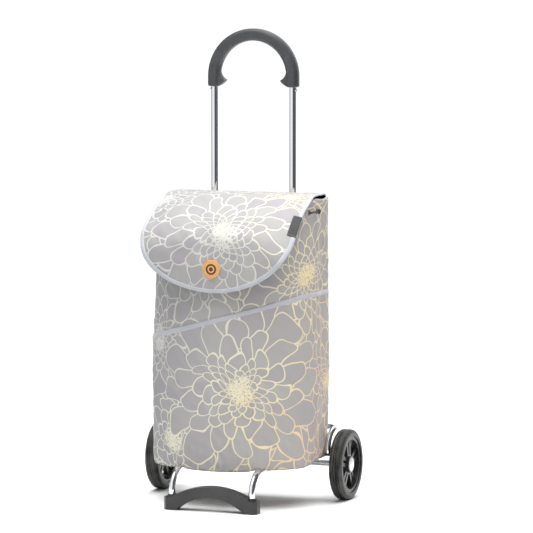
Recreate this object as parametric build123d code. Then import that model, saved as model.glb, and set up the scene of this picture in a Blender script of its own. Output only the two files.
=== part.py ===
"""Two-wheeled shopping trolley: chrome tube frame, half-ring grip, arched foot and hanging bag with a flap.

Millimetres, +Z up, +X to the right seen from the front, the bag in front of the uprights (towards -Y).
The origin is on the ground, at the centre of the whole object's outline.
"""
import os
from math import atan, atan2, degrees, hypot, sqrt

from build123d import *

os.makedirs("parts", exist_ok=True)

# Whole object
HEIGHT = 1000.0
TRACK = 420.0
WHEELBASE = 247.0

# Tubes
TUBE_R = 7.0
TUBE_WALL = 1.2
TUBE_SPACING = 178.0
TUBE_X = TUBE_SPACING / 2
TUBE_BORE_R = TUBE_R - TUBE_WALL

# Wheels
WHEEL_R = 75.0
TYRE_WIDTH = 30.0
TYRE_SEAT_R = 60.0
TYRE_SHOULDER = 8.0
TREAD_GROOVE = 1.0
RIM_WIDTH = 24.0
RIM_BARREL_R = 55.0
WEB_THICKNESS = 9.0
WEB_OFFSET = 1.0
SPOKE_PAIRS = 5
HUB_R = 17.5
HUB_INNER = 17.0
HUB_OUTER = 12.0
BUSH_R = 7.0
BUSH_LENGTH = 10.0
RUNNING_CLEARANCE = 0.05
CAP_R = 14.8
CAP_SKIRT_R = 12.0
CAP_RECESS = 6.0
CAP_RIM = 1.2
CAP_DOME = 3.0
ROD_R = 4.0
AXIAL_GAP = 0.3
SPACER_R = 9.0
SPACER_PLUG = 14.0
WASHER_R = 9.0
WASHER_THICKNESS = 1.2
WASHER_TEETH = 6

# Foot
BOSS_SIDE = 30.0
BOSS_HEIGHT = 27.0
BOSS_CHAMFER = 6.0
ARCH_CROWN = 52.0
ARCH_RISE = 29.0
ARCH_BACK_STEP = 3.0
COLLAR_WALL = 3.0
COLLAR_HEIGHT = 5.0
FOOT_RUN_Z = 82.0
FOOT_BEND_R = 45.0
SADDLE_DEPTH = 3.5
BORE_FLOOR = 5.0
FOOT_SCREW_R = 2.0
FOOT_SCREW_HEAD_R = 3.6

# Axle line and the front-to-back places that follow from it
AXLE_Z = WHEEL_R
AXLE_Y = (WHEELBASE + BOSS_SIDE / 2 - WHEEL_R) / 2
FOOT_Y = AXLE_Y - WHEELBASE
AXLE_TUBE_HALF = 178.0

# Grip
GRIP_RADIAL = 26.0
GRIP_DEPTH = 26.0
GRIP_CORNER = 9.0
GRIP_ARC_R = TUBE_X
GRIP_CENTRE_Z = HEIGHT - GRIP_RADIAL / 2 - GRIP_ARC_R
GRIP_LEG = 22.0
GRIP_PARTING = 4.0
CLAW_REACH = 27.0
CLAW_THICKNESS = 20.0
CLAW_HEIGHT = 34.0
SPIGOT_LENGTH = 90.0
SCREW_DROP = 6.0
GRIP_SCREW_R = 1.6
GRIP_SCREW_HEAD_R = 3.2

# Bow that keeps the bag off the wheels
BOW_R = 6.0
BOW_BORE_R = 4.0
BOW_X = 187.0
BOW_TOP_Z = 152.0
BOW_BEND_R = 42.0
BOW_CORNER_R = 21.0
BOW_FRONT = 50.0
BOW_BACK = 11.5
BOW_END_Z = 105.0
BOW_CAP = 6.0

# Bag
BAG_HALF_WIDTH = 177.0
BAG_BACK_GAP = 1.0
BAG_BACK_Y = AXLE_Y - TUBE_R - BAG_BACK_GAP
BAG_REACH = 222.0
BAG_FRONT_Y = AXLE_Y - BAG_REACH
BAG_BULGE_R = 240.0
BAG_CORNER_R = 60.0
BAG_BACK_CORNER_R = 18.0
BAG_WALL = 2.5
BAG_FLOOR_Z = 91.0
BAG_TOP_Z = 643.0
BAG_SHOULDER_Y = AXLE_Y - 122.0
BAG_SHOULDER_Z = 565.0

# Pocket across the bag's front
POCKET_GAP = 0.2
POCKET_SKIN = 1.6
POCKET_MIDDLE_Z = 402.0
POCKET_SLOPE = 0.28
POCKET_BOTTOM_Z = BAG_FLOOR_Z + 2.0
BINDING_WIDTH = 11.0
BINDING_SKIN = 2.4

# Flap
FLAP_HALF_WIDTH = 168.0
FLAP_THICKNESS = 3.0
FLAP_HINGE_Y = AXLE_Y - 14.0
FLAP_HINGE_Z = 651.0
FLAP_SHOULDER_Y = AXLE_Y - 135.0
FLAP_FRONT_Y = AXLE_Y - 245.0
FLAP_DROP_Z = 570.0
FLAP_TIP_Z = 470.0
FLAP_BEND_R = 60.0
FLAP_TAPE = 8.0
FLAP_TAPE_PROUD = 0.6
BADGE_R = 19.5
BADGE_Z = 508.0
BADGE_THICKNESS = 2.5
LABEL_LENGTH = 57.0
LABEL_WIDTH = 18.0

# Webbing loops that hang the bag on the uprights
LOOP_HEIGHT = 25.0
LOOP_CLEAR = 0.2
LOOP_WEB = 1.6
UPPER_LOOP_Z = 608.0
LOWER_LOOP_Z = 190.0
STUD_R = 5.5
STUD_THICKNESS = 2.0
HANGER_SCREW_R = 2.0
HANGER_HEAD_R = 4.2

# Cord on the bag's right side
CORD_R = 2.0
CORD_STAND = 4.6
CORD_Z = 622.0
CORD_BACK_Y = AXLE_Y - 94.0
CORD_FRONT_Y = AXLE_Y - 142.0
EYELET_R = 6.0
EYELET_BORE_R = 3.0

BIG = 1200.0
SIDES = {"left": -1, "right": 1}


def save(name, shape):
    """Writes one node's solids to its STEP file."""
    export_step(shape, f"parts/{name}.step")


def rod_x(radius, start, end, y=0.0, z=0.0):
    """A round bar along X between two X values."""
    length = abs(end - start)
    return Pos((start + end) / 2, y, z) * Rot(0, 90, 0) * Cylinder(radius, length)


def rod_y(radius, start, end, x=0.0, z=0.0):
    """A round bar along Y between two Y values."""
    length = abs(end - start)
    return Pos(x, (start + end) / 2, z) * Rot(90, 0, 0) * Cylinder(radius, length)


def rod_z(radius, bottom, top, x=0.0, y=0.0):
    """A round bar along Z between two heights."""
    return Pos(x, y, (bottom + top) / 2) * Cylinder(radius, top - bottom)


def block(x_range, y_range, z_range):
    """A box given by its limits."""
    spans = [high - low for low, high in (x_range, y_range, z_range)]
    middle = [(low + high) / 2 for low, high in (x_range, y_range, z_range)]
    return Pos(*middle) * Box(*spans)


def tube(path, outer_r, inner_r):
    """A round tube along a path of straight runs and tangent arcs."""
    start = Plane(origin=path @ 0, z_dir=path % 0)
    return sweep(start * (Circle(outer_r) - Circle(inner_r)), path=path)


# ---------------------------------------------------------------- frame

def upright(side):
    """A chrome upright, saddled on the axle tube and ending inside the grip."""
    x = side * TUBE_X
    body = rod_z(TUBE_R, AXLE_Z, GRIP_CENTRE_Z, x, AXLE_Y) - rod_z(TUBE_BORE_R, 0, HEIGHT, x, AXLE_Y)
    body -= rod_x(TUBE_R, x - 2 * TUBE_R, x + 2 * TUBE_R, AXLE_Y, AXLE_Z)
    body -= grip_screw(side)
    return body - hanger_screw(side)


def axle_tube():
    """The chrome cross tube that the axle rod runs in."""
    body = rod_x(TUBE_R, -AXLE_TUBE_HALF, AXLE_TUBE_HALF, AXLE_Y, AXLE_Z)
    return body - rod_x(TUBE_BORE_R, -BIG, BIG, AXLE_Y, AXLE_Z)


def hub_face(side, outward):
    """X of the hub's inner or outer end."""
    return side * (TRACK / 2 + (HUB_OUTER if outward else -HUB_INNER))


def axle_rod():
    """The steel rod through both wheels."""
    end = abs(hub_face(1, True)) - CAP_RECESS + AXIAL_GAP + 2 * WASHER_THICKNESS
    rod = rod_x(ROD_R, -end, end, AXLE_Y, AXLE_Z)
    return chamfer(rod.edges().filter_by(GeomType.CIRCLE), 0.6)


def axle_spacer(side):
    """Plastic plug in the axle tube's end, with a collar that spaces the wheel."""
    shoulder = side * AXLE_TUBE_HALF
    body = rod_x(SPACER_R, shoulder, hub_face(side, False) - side * AXIAL_GAP, AXLE_Y, AXLE_Z)
    body += rod_x(TUBE_BORE_R, shoulder - side * SPACER_PLUG, shoulder, AXLE_Y, AXLE_Z)
    return body - rod_x(ROD_R, -BIG, BIG, AXLE_Y, AXLE_Z)


def lock_washers():
    """Push-on washers that keep the wheels on the rod."""
    seat = abs(hub_face(1, True)) - CAP_RECESS + AXIAL_GAP
    washers = []
    for side in SIDES.values():
        disc = rod_x(WASHER_R, side * seat, side * (seat + WASHER_THICKNESS), AXLE_Y, AXLE_Z)
        disc -= rod_x(ROD_R, -BIG, BIG, AXLE_Y, AXLE_Z)
        notch = Pos(side * seat, 0, ROD_R + 1) * Box(4 * WASHER_THICKNESS, 1.2, ROD_R)
        for turn in range(WASHER_TEETH):
            disc -= Pos(0, AXLE_Y, AXLE_Z) * Rot((turn + 0.5) * 360 / WASHER_TEETH, 0, 0) * notch
        washers.append(disc)
    return Compound(washers)


def guard_bow():
    """One bent tube: down beside each wheel, up over the axle and across behind the uprights."""
    front, back = AXLE_Y - BOW_FRONT, AXLE_Y + BOW_BACK
    corners = [
        (BOW_X, front, BOW_END_Z),
        (BOW_X, front, BOW_TOP_Z),
        (BOW_X, back, BOW_TOP_Z),
        (-BOW_X, back, BOW_TOP_Z),
        (-BOW_X, front, BOW_TOP_Z),
        (-BOW_X, front, BOW_END_Z),
    ]
    radii = [BOW_BEND_R, BOW_CORNER_R, BOW_CORNER_R, BOW_BEND_R]
    bow = tube(FilletPolyline(*corners, radius=radii), BOW_R, BOW_BORE_R)
    for side in SIDES.values():
        bow -= rod_z(TUBE_R, 0, HEIGHT, side * TUBE_X, AXLE_Y)
    return bow


def guard_cap(side):
    """Black plug in the bow's open end."""
    x, y = side * BOW_X, AXLE_Y - BOW_FRONT
    cap = fillet(rod_z(BOW_R + 0.5, BOW_END_Z - BOW_CAP, BOW_END_Z, x, y).edges(), 0.8)
    return cap + rod_z(BOW_BORE_R - 0.05, BOW_END_Z, BOW_END_Z + 8, x, y)


# ---------------------------------------------------------------- grip

def grip_path(bottom_z):
    """Up one leg, round the half ring and down the other leg."""
    left_foot, left_top = (-GRIP_ARC_R, AXLE_Y, bottom_z), (-GRIP_ARC_R, AXLE_Y, GRIP_CENTRE_Z)
    right_top, right_foot = (GRIP_ARC_R, AXLE_Y, GRIP_CENTRE_Z), (GRIP_ARC_R, AXLE_Y, bottom_z)
    crown = (0, AXLE_Y, GRIP_CENTRE_Z + GRIP_ARC_R)
    half_ring = ThreePointArc(left_top, crown, right_top)
    runs = [Line(left_foot, left_top), half_ring, Line(right_top, right_foot)]
    return Wire([run.edge() for run in runs])


def claw(side):
    """The pointed finger stop that turns inward at the foot of a leg."""
    foot = GRIP_CENTRE_Z - GRIP_LEG
    head = foot + CLAW_HEIGHT
    inset = -5
    tip = (CLAW_REACH, foot + 14)
    root = (GRIP_RADIAL / 2, head)
    runs = [
        ThreePointArc((inset, foot), (14, foot + 2.5), tip),
        ThreePointArc(tip, (CLAW_REACH - 9, foot + 21), root),
        Line(root, (inset, head)),
        Line((inset, head), (inset, foot)),
    ]
    outline = Wire([run.edge() for run in runs])
    solid = extrude(Plane.XZ * Face(outline), CLAW_THICKNESS / 2, both=True)
    solid = fillet(solid.edges().filter_by(GeomType.CIRCLE), 4.0)
    if side > 0:
        solid = mirror(solid, about=Plane.YZ)
    return Pos(side * TUBE_X, AXLE_Y, 0) * solid


def grip_body():
    """The whole grip before it is parted, with the channel for the tubes."""
    foot = GRIP_CENTRE_Z - GRIP_LEG
    path = grip_path(foot)
    start = Plane(origin=path @ 0, x_dir=(1, 0, 0), z_dir=(0, 0, 1))
    body = sweep(start * RectangleRounded(GRIP_RADIAL, GRIP_DEPTH, GRIP_CORNER), path=path)
    body = fillet(body.faces().sort_by(Axis.Z)[:2].edges(), 4.0)
    for side in SIDES.values():
        body += claw(side)
    channel_path = grip_path(foot - 5)
    channel_start = Plane(origin=channel_path @ 0, z_dir=(0, 0, 1))
    return body - sweep(channel_start * Circle(TUBE_R), path=channel_path)


def grip_shells():
    """The grip parted along its arc into an inner and an outer shell."""
    whole = grip_body()
    reach = GRIP_ARC_R + GRIP_PARTING
    front, back = AXLE_Y - GRIP_DEPTH, AXLE_Y + GRIP_DEPTH
    core = rod_y(reach, front, back, 0, GRIP_CENTRE_Z)
    core += block((-reach, reach), (front, back), (GRIP_CENTRE_Z - 2 * CLAW_HEIGHT, GRIP_CENTRE_Z))
    return whole & core, whole - core


def grip_screw(side):
    """A pan-head screw through the upright, just under the grip, on its outer side."""
    z = GRIP_CENTRE_Z - GRIP_LEG - SCREW_DROP
    skin = side * (TUBE_X + TUBE_R)
    shank = rod_x(GRIP_SCREW_R, side * (TUBE_X + 1.5), skin, AXLE_Y, z)
    head = rod_x(GRIP_SCREW_HEAD_R, skin - side * 0.9, skin + side * 1.9, AXLE_Y, z)
    return shank + head


def grip_spigots():
    """The grip's plugs inside the uprights."""
    plugs = []
    for side in SIDES.values():
        plug = rod_z(TUBE_BORE_R, GRIP_CENTRE_Z - SPIGOT_LENGTH, GRIP_CENTRE_Z, side * TUBE_X, AXLE_Y)
        plugs.append(plug - grip_screw(side))
    return Compound(plugs)


# ---------------------------------------------------------------- foot

def foot_tube(side):
    """From the axle, forward under the bag and down into the foot."""
    x = side * TUBE_X
    path = FilletPolyline(
        (x, AXLE_Y - SADDLE_DEPTH, FOOT_RUN_Z),
        (x, FOOT_Y, FOOT_RUN_Z),
        (x, FOOT_Y, BORE_FLOOR),
        radius=FOOT_BEND_R,
    )
    body = tube(path, TUBE_R, TUBE_BORE_R)
    body -= rod_z(TUBE_R, 0, HEIGHT, x, AXLE_Y)
    body -= rod_x(TUBE_R, -BIG, BIG, AXLE_Y, AXLE_Z)
    front = body.solids().sort_by(SortBy.VOLUME)[-1]
    return front - foot_screw(side)


def foot_screw(side):
    """A screw from behind through the foot's boss into the tube."""
    back = FOOT_Y + BOSS_SIDE / 2
    shank = rod_y(FOOT_SCREW_R, FOOT_Y + 3, back, side * TUBE_X, BOSS_HEIGHT / 2)
    return shank + rod_y(FOOT_SCREW_HEAD_R, back - 2.5, back, side * TUBE_X, BOSS_HEIGHT / 2)


def foot_arch():
    """The black plastic foot: two bosses joined by an arch."""
    half = BOSS_SIDE / 2
    front, back = FOOT_Y - half, FOOT_Y + half
    outer, inner = TUBE_X + half, TUBE_X - half + ARCH_BACK_STEP
    crown_rise = ARCH_CROWN - BOSS_HEIGHT
    crown_r = (TUBE_X**2 + crown_rise**2) / (2 * crown_rise)
    under_r = (inner**2 + ARCH_RISE**2) / (2 * ARCH_RISE)
    band = rod_y(crown_r, front, back - ARCH_BACK_STEP, 0, ARCH_CROWN - crown_r)
    band &= block((-TUBE_X, TUBE_X), (front, back), (0, ARCH_CROWN + 1))
    body = band.solids().sort_by(Axis.Z)[-1]
    for side in SIDES.values():
        x = side * TUBE_X
        boss = block((x - half, x + half), (front, back), (0, BOSS_HEIGHT))
        boss = chamfer(boss.edges().filter_by(Axis.Z), BOSS_CHAMFER)
        collar = rod_z(TUBE_R + COLLAR_WALL, BOSS_HEIGHT, BOSS_HEIGHT + COLLAR_HEIGHT, x, FOOT_Y)
        body += boss + collar
    body -= rod_y(under_r, front - 1, back + 1, 0, ARCH_RISE - under_r)
    body &= block((-outer, outer), (front, back), (0, ARCH_CROWN + 1))
    for side in SIDES.values():
        body -= rod_z(TUBE_R, BORE_FLOOR, FOOT_RUN_Z, side * TUBE_X, FOOT_Y)
        body -= foot_screw(side)
    return body


# ---------------------------------------------------------------- wheels

def wheel_section(points):
    """A closed section in the (X, radius) half plane, from its corners."""
    return make_face(Polyline(*points, close=True))


def turned(face, side):
    """Turns an (X, radius) section round the axle of the wheel on that side."""
    solid = revolve(Plane.XZ * face, Axis.X)
    if side < 0:
        solid = mirror(solid, about=Plane.YZ)
    return Pos(side * TRACK / 2, AXLE_Y, AXLE_Z) * solid


def tyre(side):
    """Rubber tyre with rounded shoulders and fine grooves round the tread."""
    half = TYRE_WIDTH / 2
    section = Pos(0, (TYRE_SEAT_R + WHEEL_R) / 2) * Rectangle(TYRE_WIDTH, WHEEL_R - TYRE_SEAT_R)
    section = fillet(section.vertices().group_by(Axis.Y)[-1], TYRE_SHOULDER)
    section = fillet(section.vertices().group_by(Axis.Y)[0], 2.0)
    for place in (-1, -1 / 3, 1 / 3, 1):
        groove = Pos(place * (half - TYRE_SHOULDER), WHEEL_R) * Rectangle(TREAD_GROOVE, 2 * TREAD_GROOVE)
        section -= groove
    return turned(section, side)


def spoke_window(width_in, width_out, inner_r, outer_r):
    """A rounded wedge through the web, pointing along +Z from the hub."""
    near, far = width_in / 2, width_out / 2
    corners = [(-near, inner_r), (near, inner_r), (far, outer_r), (-far, outer_r)]
    face = make_face(Polyline(*corners, close=True))
    face = fillet(face.vertices(), min(width_in, width_out) * 0.3)
    return extrude(Plane.YZ * face, 40, both=True)


def rim(side):
    """Plastic rim: barrel, web with five twin spokes, and hub."""
    half = RIM_WIDTH / 2
    barrel = [(-half, RIM_BARREL_R), (half, RIM_BARREL_R - 2), (half, TYRE_SEAT_R), (-half, TYRE_SEAT_R)]
    body = turned(wheel_section(barrel), side)
    web_in, web_out = WEB_OFFSET - WEB_THICKNESS / 2, WEB_OFFSET + WEB_THICKNESS / 2
    web = [
        (web_in, HUB_R - 1),
        (web_out + 2, HUB_R - 1),
        (web_out, RIM_BARREL_R + 1),
        (web_in, RIM_BARREL_R + 1),
    ]
    disc = turned(wheel_section(web), side)
    centre = Pos(side * TRACK / 2, AXLE_Y, AXLE_Z)
    step = 360 / SPOKE_PAIRS
    window = spoke_window(9.0, 40.0, HUB_R + 4, RIM_BARREL_R - 3)
    slot = spoke_window(4.0, 8.0, HUB_R + 3, RIM_BARREL_R - 4)
    for turn in range(SPOKE_PAIRS):
        disc -= centre * Rot(step * turn, 0, 0) * slot
        disc -= centre * Rot(step * (turn + 0.5), 0, 0) * window
    body += disc
    body += rod_x(HUB_R, hub_face(side, False), hub_face(side, True), AXLE_Y, AXLE_Z)
    body -= rod_x(BUSH_R, -BIG, BIG, AXLE_Y, AXLE_Z)
    recess = hub_face(side, True) - side * CAP_RECESS
    return body - rod_x(CAP_SKIRT_R, recess, hub_face(side, True) + side, AXLE_Y, AXLE_Z)


def bushes(side):
    """The two plain bearings in the hub."""
    pair = []
    inner_start = hub_face(side, False)
    outer_start = hub_face(side, True) - side * (CAP_RECESS + BUSH_LENGTH)
    for start in (inner_start, outer_start):
        ring = rod_x(BUSH_R, start, start + side * BUSH_LENGTH, AXLE_Y, AXLE_Z)
        pair.append(ring - rod_x(ROD_R + RUNNING_CLEARANCE, -BIG, BIG, AXLE_Y, AXLE_Z))
    return Compound(pair)


def hub_cap(side):
    """Silver cap pressed into the hub over the rod's end."""
    seat, rim_top = HUB_OUTER, HUB_OUTER + CAP_RIM
    skirt_end, bore_r = seat - CAP_RECESS + 2, CAP_SKIRT_R - CAP_RIM
    dome_r = (CAP_R**2 + CAP_DOME**2) / (2 * CAP_DOME)
    dome_middle_r = CAP_R / 2
    dome_middle = rim_top + CAP_DOME - dome_r + sqrt(dome_r**2 - dome_middle_r**2)
    crown = (rim_top + CAP_DOME, 0)
    roof = seat + 1.4
    rim_line = Polyline((skirt_end, CAP_SKIRT_R), (seat, CAP_SKIRT_R), (seat, CAP_R), (rim_top, CAP_R))
    dome = ThreePointArc((rim_top, CAP_R), (dome_middle, dome_middle_r), crown)
    inside = Polyline(crown, (roof, 0), (roof, bore_r), (skirt_end, bore_r), (skirt_end, CAP_SKIRT_R))
    return turned(Face(Wire(rim_line.edges() + [dome.edge()] + inside.edges())), side)


# ---------------------------------------------------------------- bag

def bag_outline(grow=0.0):
    """The bag's plan: flat back, straight sides, rounded front corners and a bulged front."""
    half, back = BAG_HALF_WIDTH + grow, BAG_BACK_Y + grow
    back_r, corner_r, bulge_r = BAG_BACK_CORNER_R + grow, BAG_CORNER_R + grow, BAG_BULGE_R + grow
    bulge_y = BAG_FRONT_Y + BAG_BULGE_R
    corner_x = BAG_HALF_WIDTH - BAG_CORNER_R
    drop = sqrt((BAG_BULGE_R - BAG_CORNER_R) ** 2 - corner_x**2)
    corner_y = bulge_y - drop
    turn = degrees(atan2(drop, corner_x))
    runs = [
        Line((0, back), (half - back_r, back)),
        CenterArc((half - back_r, back - back_r), back_r, 90, -90),
        Line((half, back - back_r), (half, corner_y)),
        CenterArc((corner_x, corner_y), corner_r, 0, -turn),
        CenterArc((0, bulge_y), bulge_r, -turn, turn - 90),
    ]
    right = [run.edge() for run in runs]
    left = [edge.mirror(Plane.YZ) for edge in right]
    return Face(Wire(right + left))


def prism(face, bottom, top):
    """A plan face raised between two heights."""
    return extrude(Pos(0, 0, bottom) * face, top - bottom, dir=(0, 0, 1))


def under_shoulder(inset=0.0):
    """The space under the bag's sloping front shoulder, as a solid across the whole width."""
    front, top = BAG_FRONT_Y - 40, BAG_TOP_Z + 100
    slope = [
        (BAG_BACK_Y + 60, -10),
        (BAG_BACK_Y + 60, top),
        (BAG_SHOULDER_Y, top),
        (BAG_SHOULDER_Y, BAG_TOP_Z - inset),
        (BAG_FRONT_Y, BAG_SHOULDER_Z - inset),
        (front, BAG_SHOULDER_Z - inset),
        (front, -10),
    ]
    face = make_face(Polyline(*slope, close=True))
    return extrude(Plane.YZ * face, BAG_HALF_WIDTH + 20, both=True)


def bag_shell():
    """The fabric bag: a thin-walled open-topped sack with a sloping front shoulder."""
    outer = prism(bag_outline(), BAG_FLOOR_Z, BAG_TOP_Z) & under_shoulder()
    inner = prism(bag_outline(-BAG_WALL), BAG_FLOOR_Z + BAG_WALL, BAG_TOP_Z + 1) & under_shoulder(BAG_WALL)
    return outer - inner


def base_board():
    """The stiff board on the bag's floor."""
    low = BAG_FLOOR_Z + BAG_WALL + 0.1
    return prism(bag_outline(-BAG_WALL - 2), low, low + 2)


def tilted_slab(low, high):
    """Everything between two parallel planes that slope up towards the right."""
    slab = block((-BIG / 2, BIG / 2), (-BIG / 2, BIG / 2), (low, high))
    return Pos(0, 0, POCKET_MIDDLE_Z) * Rot(0, -degrees(atan(POCKET_SLOPE)), 0) * slab


def skin(inner, outer, bottom, top):
    """A band round the bag's front and sides, between two outlines."""
    ring = prism(bag_outline(outer), bottom, top) - prism(bag_outline(inner), bottom - 1, top + 1)
    return ring & block((-BIG, BIG), (-BIG, BAG_BACK_Y - BAG_BACK_CORNER_R), (0, HEIGHT))


def front_pocket():
    """The pocket panel, below the slanting mouth."""
    panel = skin(POCKET_GAP, POCKET_GAP + POCKET_SKIN, POCKET_BOTTOM_Z, BAG_SHOULDER_Z)
    return panel & tilted_slab(-BIG, -BINDING_WIDTH / 2)


def pocket_binding():
    """The tape along the pocket's mouth."""
    band = skin(POCKET_GAP, POCKET_GAP + BINDING_SKIN, POCKET_BOTTOM_Z, BAG_SHOULDER_Z)
    return band & tilted_slab(-BINDING_WIDTH / 2, BINDING_WIDTH / 2)


def hanging_loop(side, middle_z):
    """A webbing loop from the bag's back round an upright."""
    inner = TUBE_R + LOOP_CLEAR
    outer = inner + LOOP_WEB
    plan = Circle(outer) + Pos(0, -outer / 2) * Rectangle(2 * outer, outer)
    plan -= Circle(inner) + Pos(0, -inner) * Rectangle(2 * inner, 2 * inner)
    plan &= Pos(0, 20 + BAG_BACK_Y - AXLE_Y) * Rectangle(60, 40)
    loop = extrude(plan, LOOP_HEIGHT / 2, both=True)
    return Pos(side * TUBE_X, AXLE_Y, middle_z) * loop


def loop_studs():
    """Press studs on the outer side of the four loops."""
    skin_x = TUBE_X + TUBE_R + LOOP_CLEAR + LOOP_WEB
    studs = []
    for side in SIDES.values():
        for z in (UPPER_LOOP_Z, LOWER_LOOP_Z):
            stud = rod_x(STUD_R, side * skin_x, side * (skin_x + STUD_THICKNESS), AXLE_Y - 1.5, z)
            studs.append(chamfer(stud.faces().sort_by(Axis.X)[-1 if side > 0 else 0].edges(), 0.7))
    return Compound(studs)


def hanger_screw(side):
    """A screw behind an upright that the upper loop rests on."""
    z = UPPER_LOOP_Z - LOOP_HEIGHT / 2 - 5
    back = AXLE_Y + TUBE_R
    shank = rod_y(HANGER_SCREW_R, AXLE_Y + 2, back, side * TUBE_X, z)
    return shank + rod_y(HANGER_HEAD_R, back - 1.4, back + 2.4, side * TUBE_X, z)


def side_cord():
    """The taut cord on the bag's right side, turning into an eyelet at each end."""
    wall = BAG_HALF_WIDTH + 0.1
    path = FilletPolyline(
        (wall, CORD_BACK_Y, CORD_Z),
        (wall + CORD_STAND, CORD_BACK_Y, CORD_Z),
        (wall + CORD_STAND, CORD_FRONT_Y, CORD_Z),
        (wall, CORD_FRONT_Y, CORD_Z),
        radius=CORD_STAND - 0.4,
    )
    start = Plane(origin=path @ 0, z_dir=path % 0)
    return sweep(start * Circle(CORD_R), path=path)


def cord_eyelets():
    """Two metal eyelets in the bag's side."""
    rings = []
    for y in (CORD_BACK_Y, CORD_FRONT_Y):
        ring = rod_x(EYELET_R, BAG_HALF_WIDTH, BAG_HALF_WIDTH + 1.4, y, CORD_Z)
        rings.append(ring - rod_x(EYELET_BORE_R, 0, BIG, y, CORD_Z))
    return Compound(rings)


# ---------------------------------------------------------------- flap

def shifted(corners, distance):
    """Corners of a parallel line, to the right of the way the corners run."""
    normals = []
    for (y0, z0), (y1, z1) in zip(corners, corners[1:]):
        length = hypot(y1 - y0, z1 - z0)
        normals.append(((z1 - z0) / length, (y0 - y1) / length))
    moved = []
    for index, (y, z) in enumerate(corners):
        before = normals[max(index - 1, 0)]
        after = normals[min(index, len(normals) - 1)]
        share = distance / (1 + before[0] * after[0] + before[1] * after[1])
        moved.append((y + share * (before[0] + after[0]), z + share * (before[1] + after[1])))
    return moved


def flap_sheet(under, over):
    """The flap's side profile between two parallel lines, across its whole width."""
    corners = [
        (FLAP_HINGE_Y, FLAP_HINGE_Z),
        (FLAP_SHOULDER_Y, FLAP_HINGE_Z + 1),
        (FLAP_FRONT_Y, FLAP_DROP_Z),
        (FLAP_FRONT_Y, FLAP_TIP_Z - 5),
    ]
    outside = FilletPolyline(*shifted(corners, over), radius=FLAP_BEND_R + over)
    inside = FilletPolyline(*shifted(corners, under), radius=FLAP_BEND_R + under)
    ends = [Line(outside @ 0, inside @ 0), Line(outside @ 1, inside @ 1)]
    face = Face(Wire(outside.edges() + inside.edges() + [end.edge() for end in ends]))
    return extrude(Plane.YZ * face, FLAP_HALF_WIDTH, both=True)


def flap_front(inset):
    """The flap's outline seen from the front, with its half-round lower edge, as a deep solid."""
    half = FLAP_HALF_WIDTH - inset
    face = Pos(0, FLAP_DROP_Z) * Ellipse(half, FLAP_DROP_Z - FLAP_TIP_Z - inset)
    face += Pos(0, FLAP_DROP_Z + 100) * Rectangle(2 * half, 200)
    return Pos(0, AXLE_Y, 0) * extrude(Plane.XZ * face, 400, both=True)


def flap_panel():
    """The flap inside its edge tape."""
    return flap_sheet(0, FLAP_THICKNESS) & flap_front(FLAP_TAPE)


def flap_binding():
    """The tape round the flap's two sides and its half-round lower edge."""
    sheet = flap_sheet(-FLAP_TAPE_PROUD, FLAP_THICKNESS + FLAP_TAPE_PROUD)
    return (sheet & flap_front(0)) - flap_front(FLAP_TAPE)


def flap_badge():
    """The round badge near the flap's lower edge."""
    face_y = FLAP_FRONT_Y - FLAP_THICKNESS
    disc = rod_y(BADGE_R, face_y - BADGE_THICKNESS, face_y, 0, BADGE_Z)
    return fillet(disc.edges().sort_by(Axis.Y)[0], 0.8)


def flap_label():
    """The plain woven label on the flap's right shoulder."""
    rise, run = FLAP_HINGE_Z + 1 - FLAP_DROP_Z, FLAP_SHOULDER_Y - FLAP_FRONT_Y
    lean = degrees(atan2(rise, run))
    middle_y, middle_z = (FLAP_SHOULDER_Y + FLAP_FRONT_Y) / 2, (FLAP_HINGE_Z + 1 + FLAP_DROP_Z) / 2
    plate = Pos(0, 0, FLAP_THICKNESS + 0.5) * Box(LABEL_WIDTH, LABEL_LENGTH, 1.0)
    x = FLAP_HALF_WIDTH - FLAP_TAPE - LABEL_WIDTH / 2
    return Pos(x, middle_y, middle_z) * Rot(lean, 0, 0) * plate


def main():
    """Makes every node and writes it."""
    inner_shell, outer_shell = grip_shells()
    save("grip_inner_shell", inner_shell)
    save("grip_outer_shell", outer_shell)
    save("grip_spigots", grip_spigots())
    save("grip_screws", Compound([grip_screw(side) for side in SIDES.values()]))
    save("axle_tube", axle_tube())
    save("axle_rod", axle_rod())
    save("axle_lock_washers", lock_washers())
    save("bag_guard_bow", guard_bow())
    save("foot_arch", foot_arch())
    save("foot_screws", Compound([foot_screw(side) for side in SIDES.values()]))
    save("hanger_screws", Compound([hanger_screw(side) for side in SIDES.values()]))
    save("loop_studs", loop_studs())
    save("bag_shell", bag_shell())
    save("base_board", base_board())
    save("front_pocket", front_pocket())
    save("pocket_binding", pocket_binding())
    save("side_cord", side_cord())
    save("cord_eyelets", cord_eyelets())
    save("flap_panel", flap_panel())
    save("flap_binding", flap_binding())
    save("flap_badge", flap_badge())
    save("flap_label", flap_label())
    for name, side in SIDES.items():
        save(f"upright_{name}", upright(side))
        save(f"foot_tube_{name}", foot_tube(side))
        save(f"axle_spacer_{name}", axle_spacer(side))
        save(f"guard_cap_{name}", guard_cap(side))
        save(f"upper_loop_{name}", hanging_loop(side, UPPER_LOOP_Z))
        save(f"lower_loop_{name}", hanging_loop(side, LOWER_LOOP_Z))
        save(f"wheel_tyre_{name}", tyre(side))
        save(f"wheel_rim_{name}", rim(side))
        save(f"wheel_bushes_{name}", bushes(side))
        save(f"hub_cap_{name}", hub_cap(side))


main()
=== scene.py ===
import math

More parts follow.
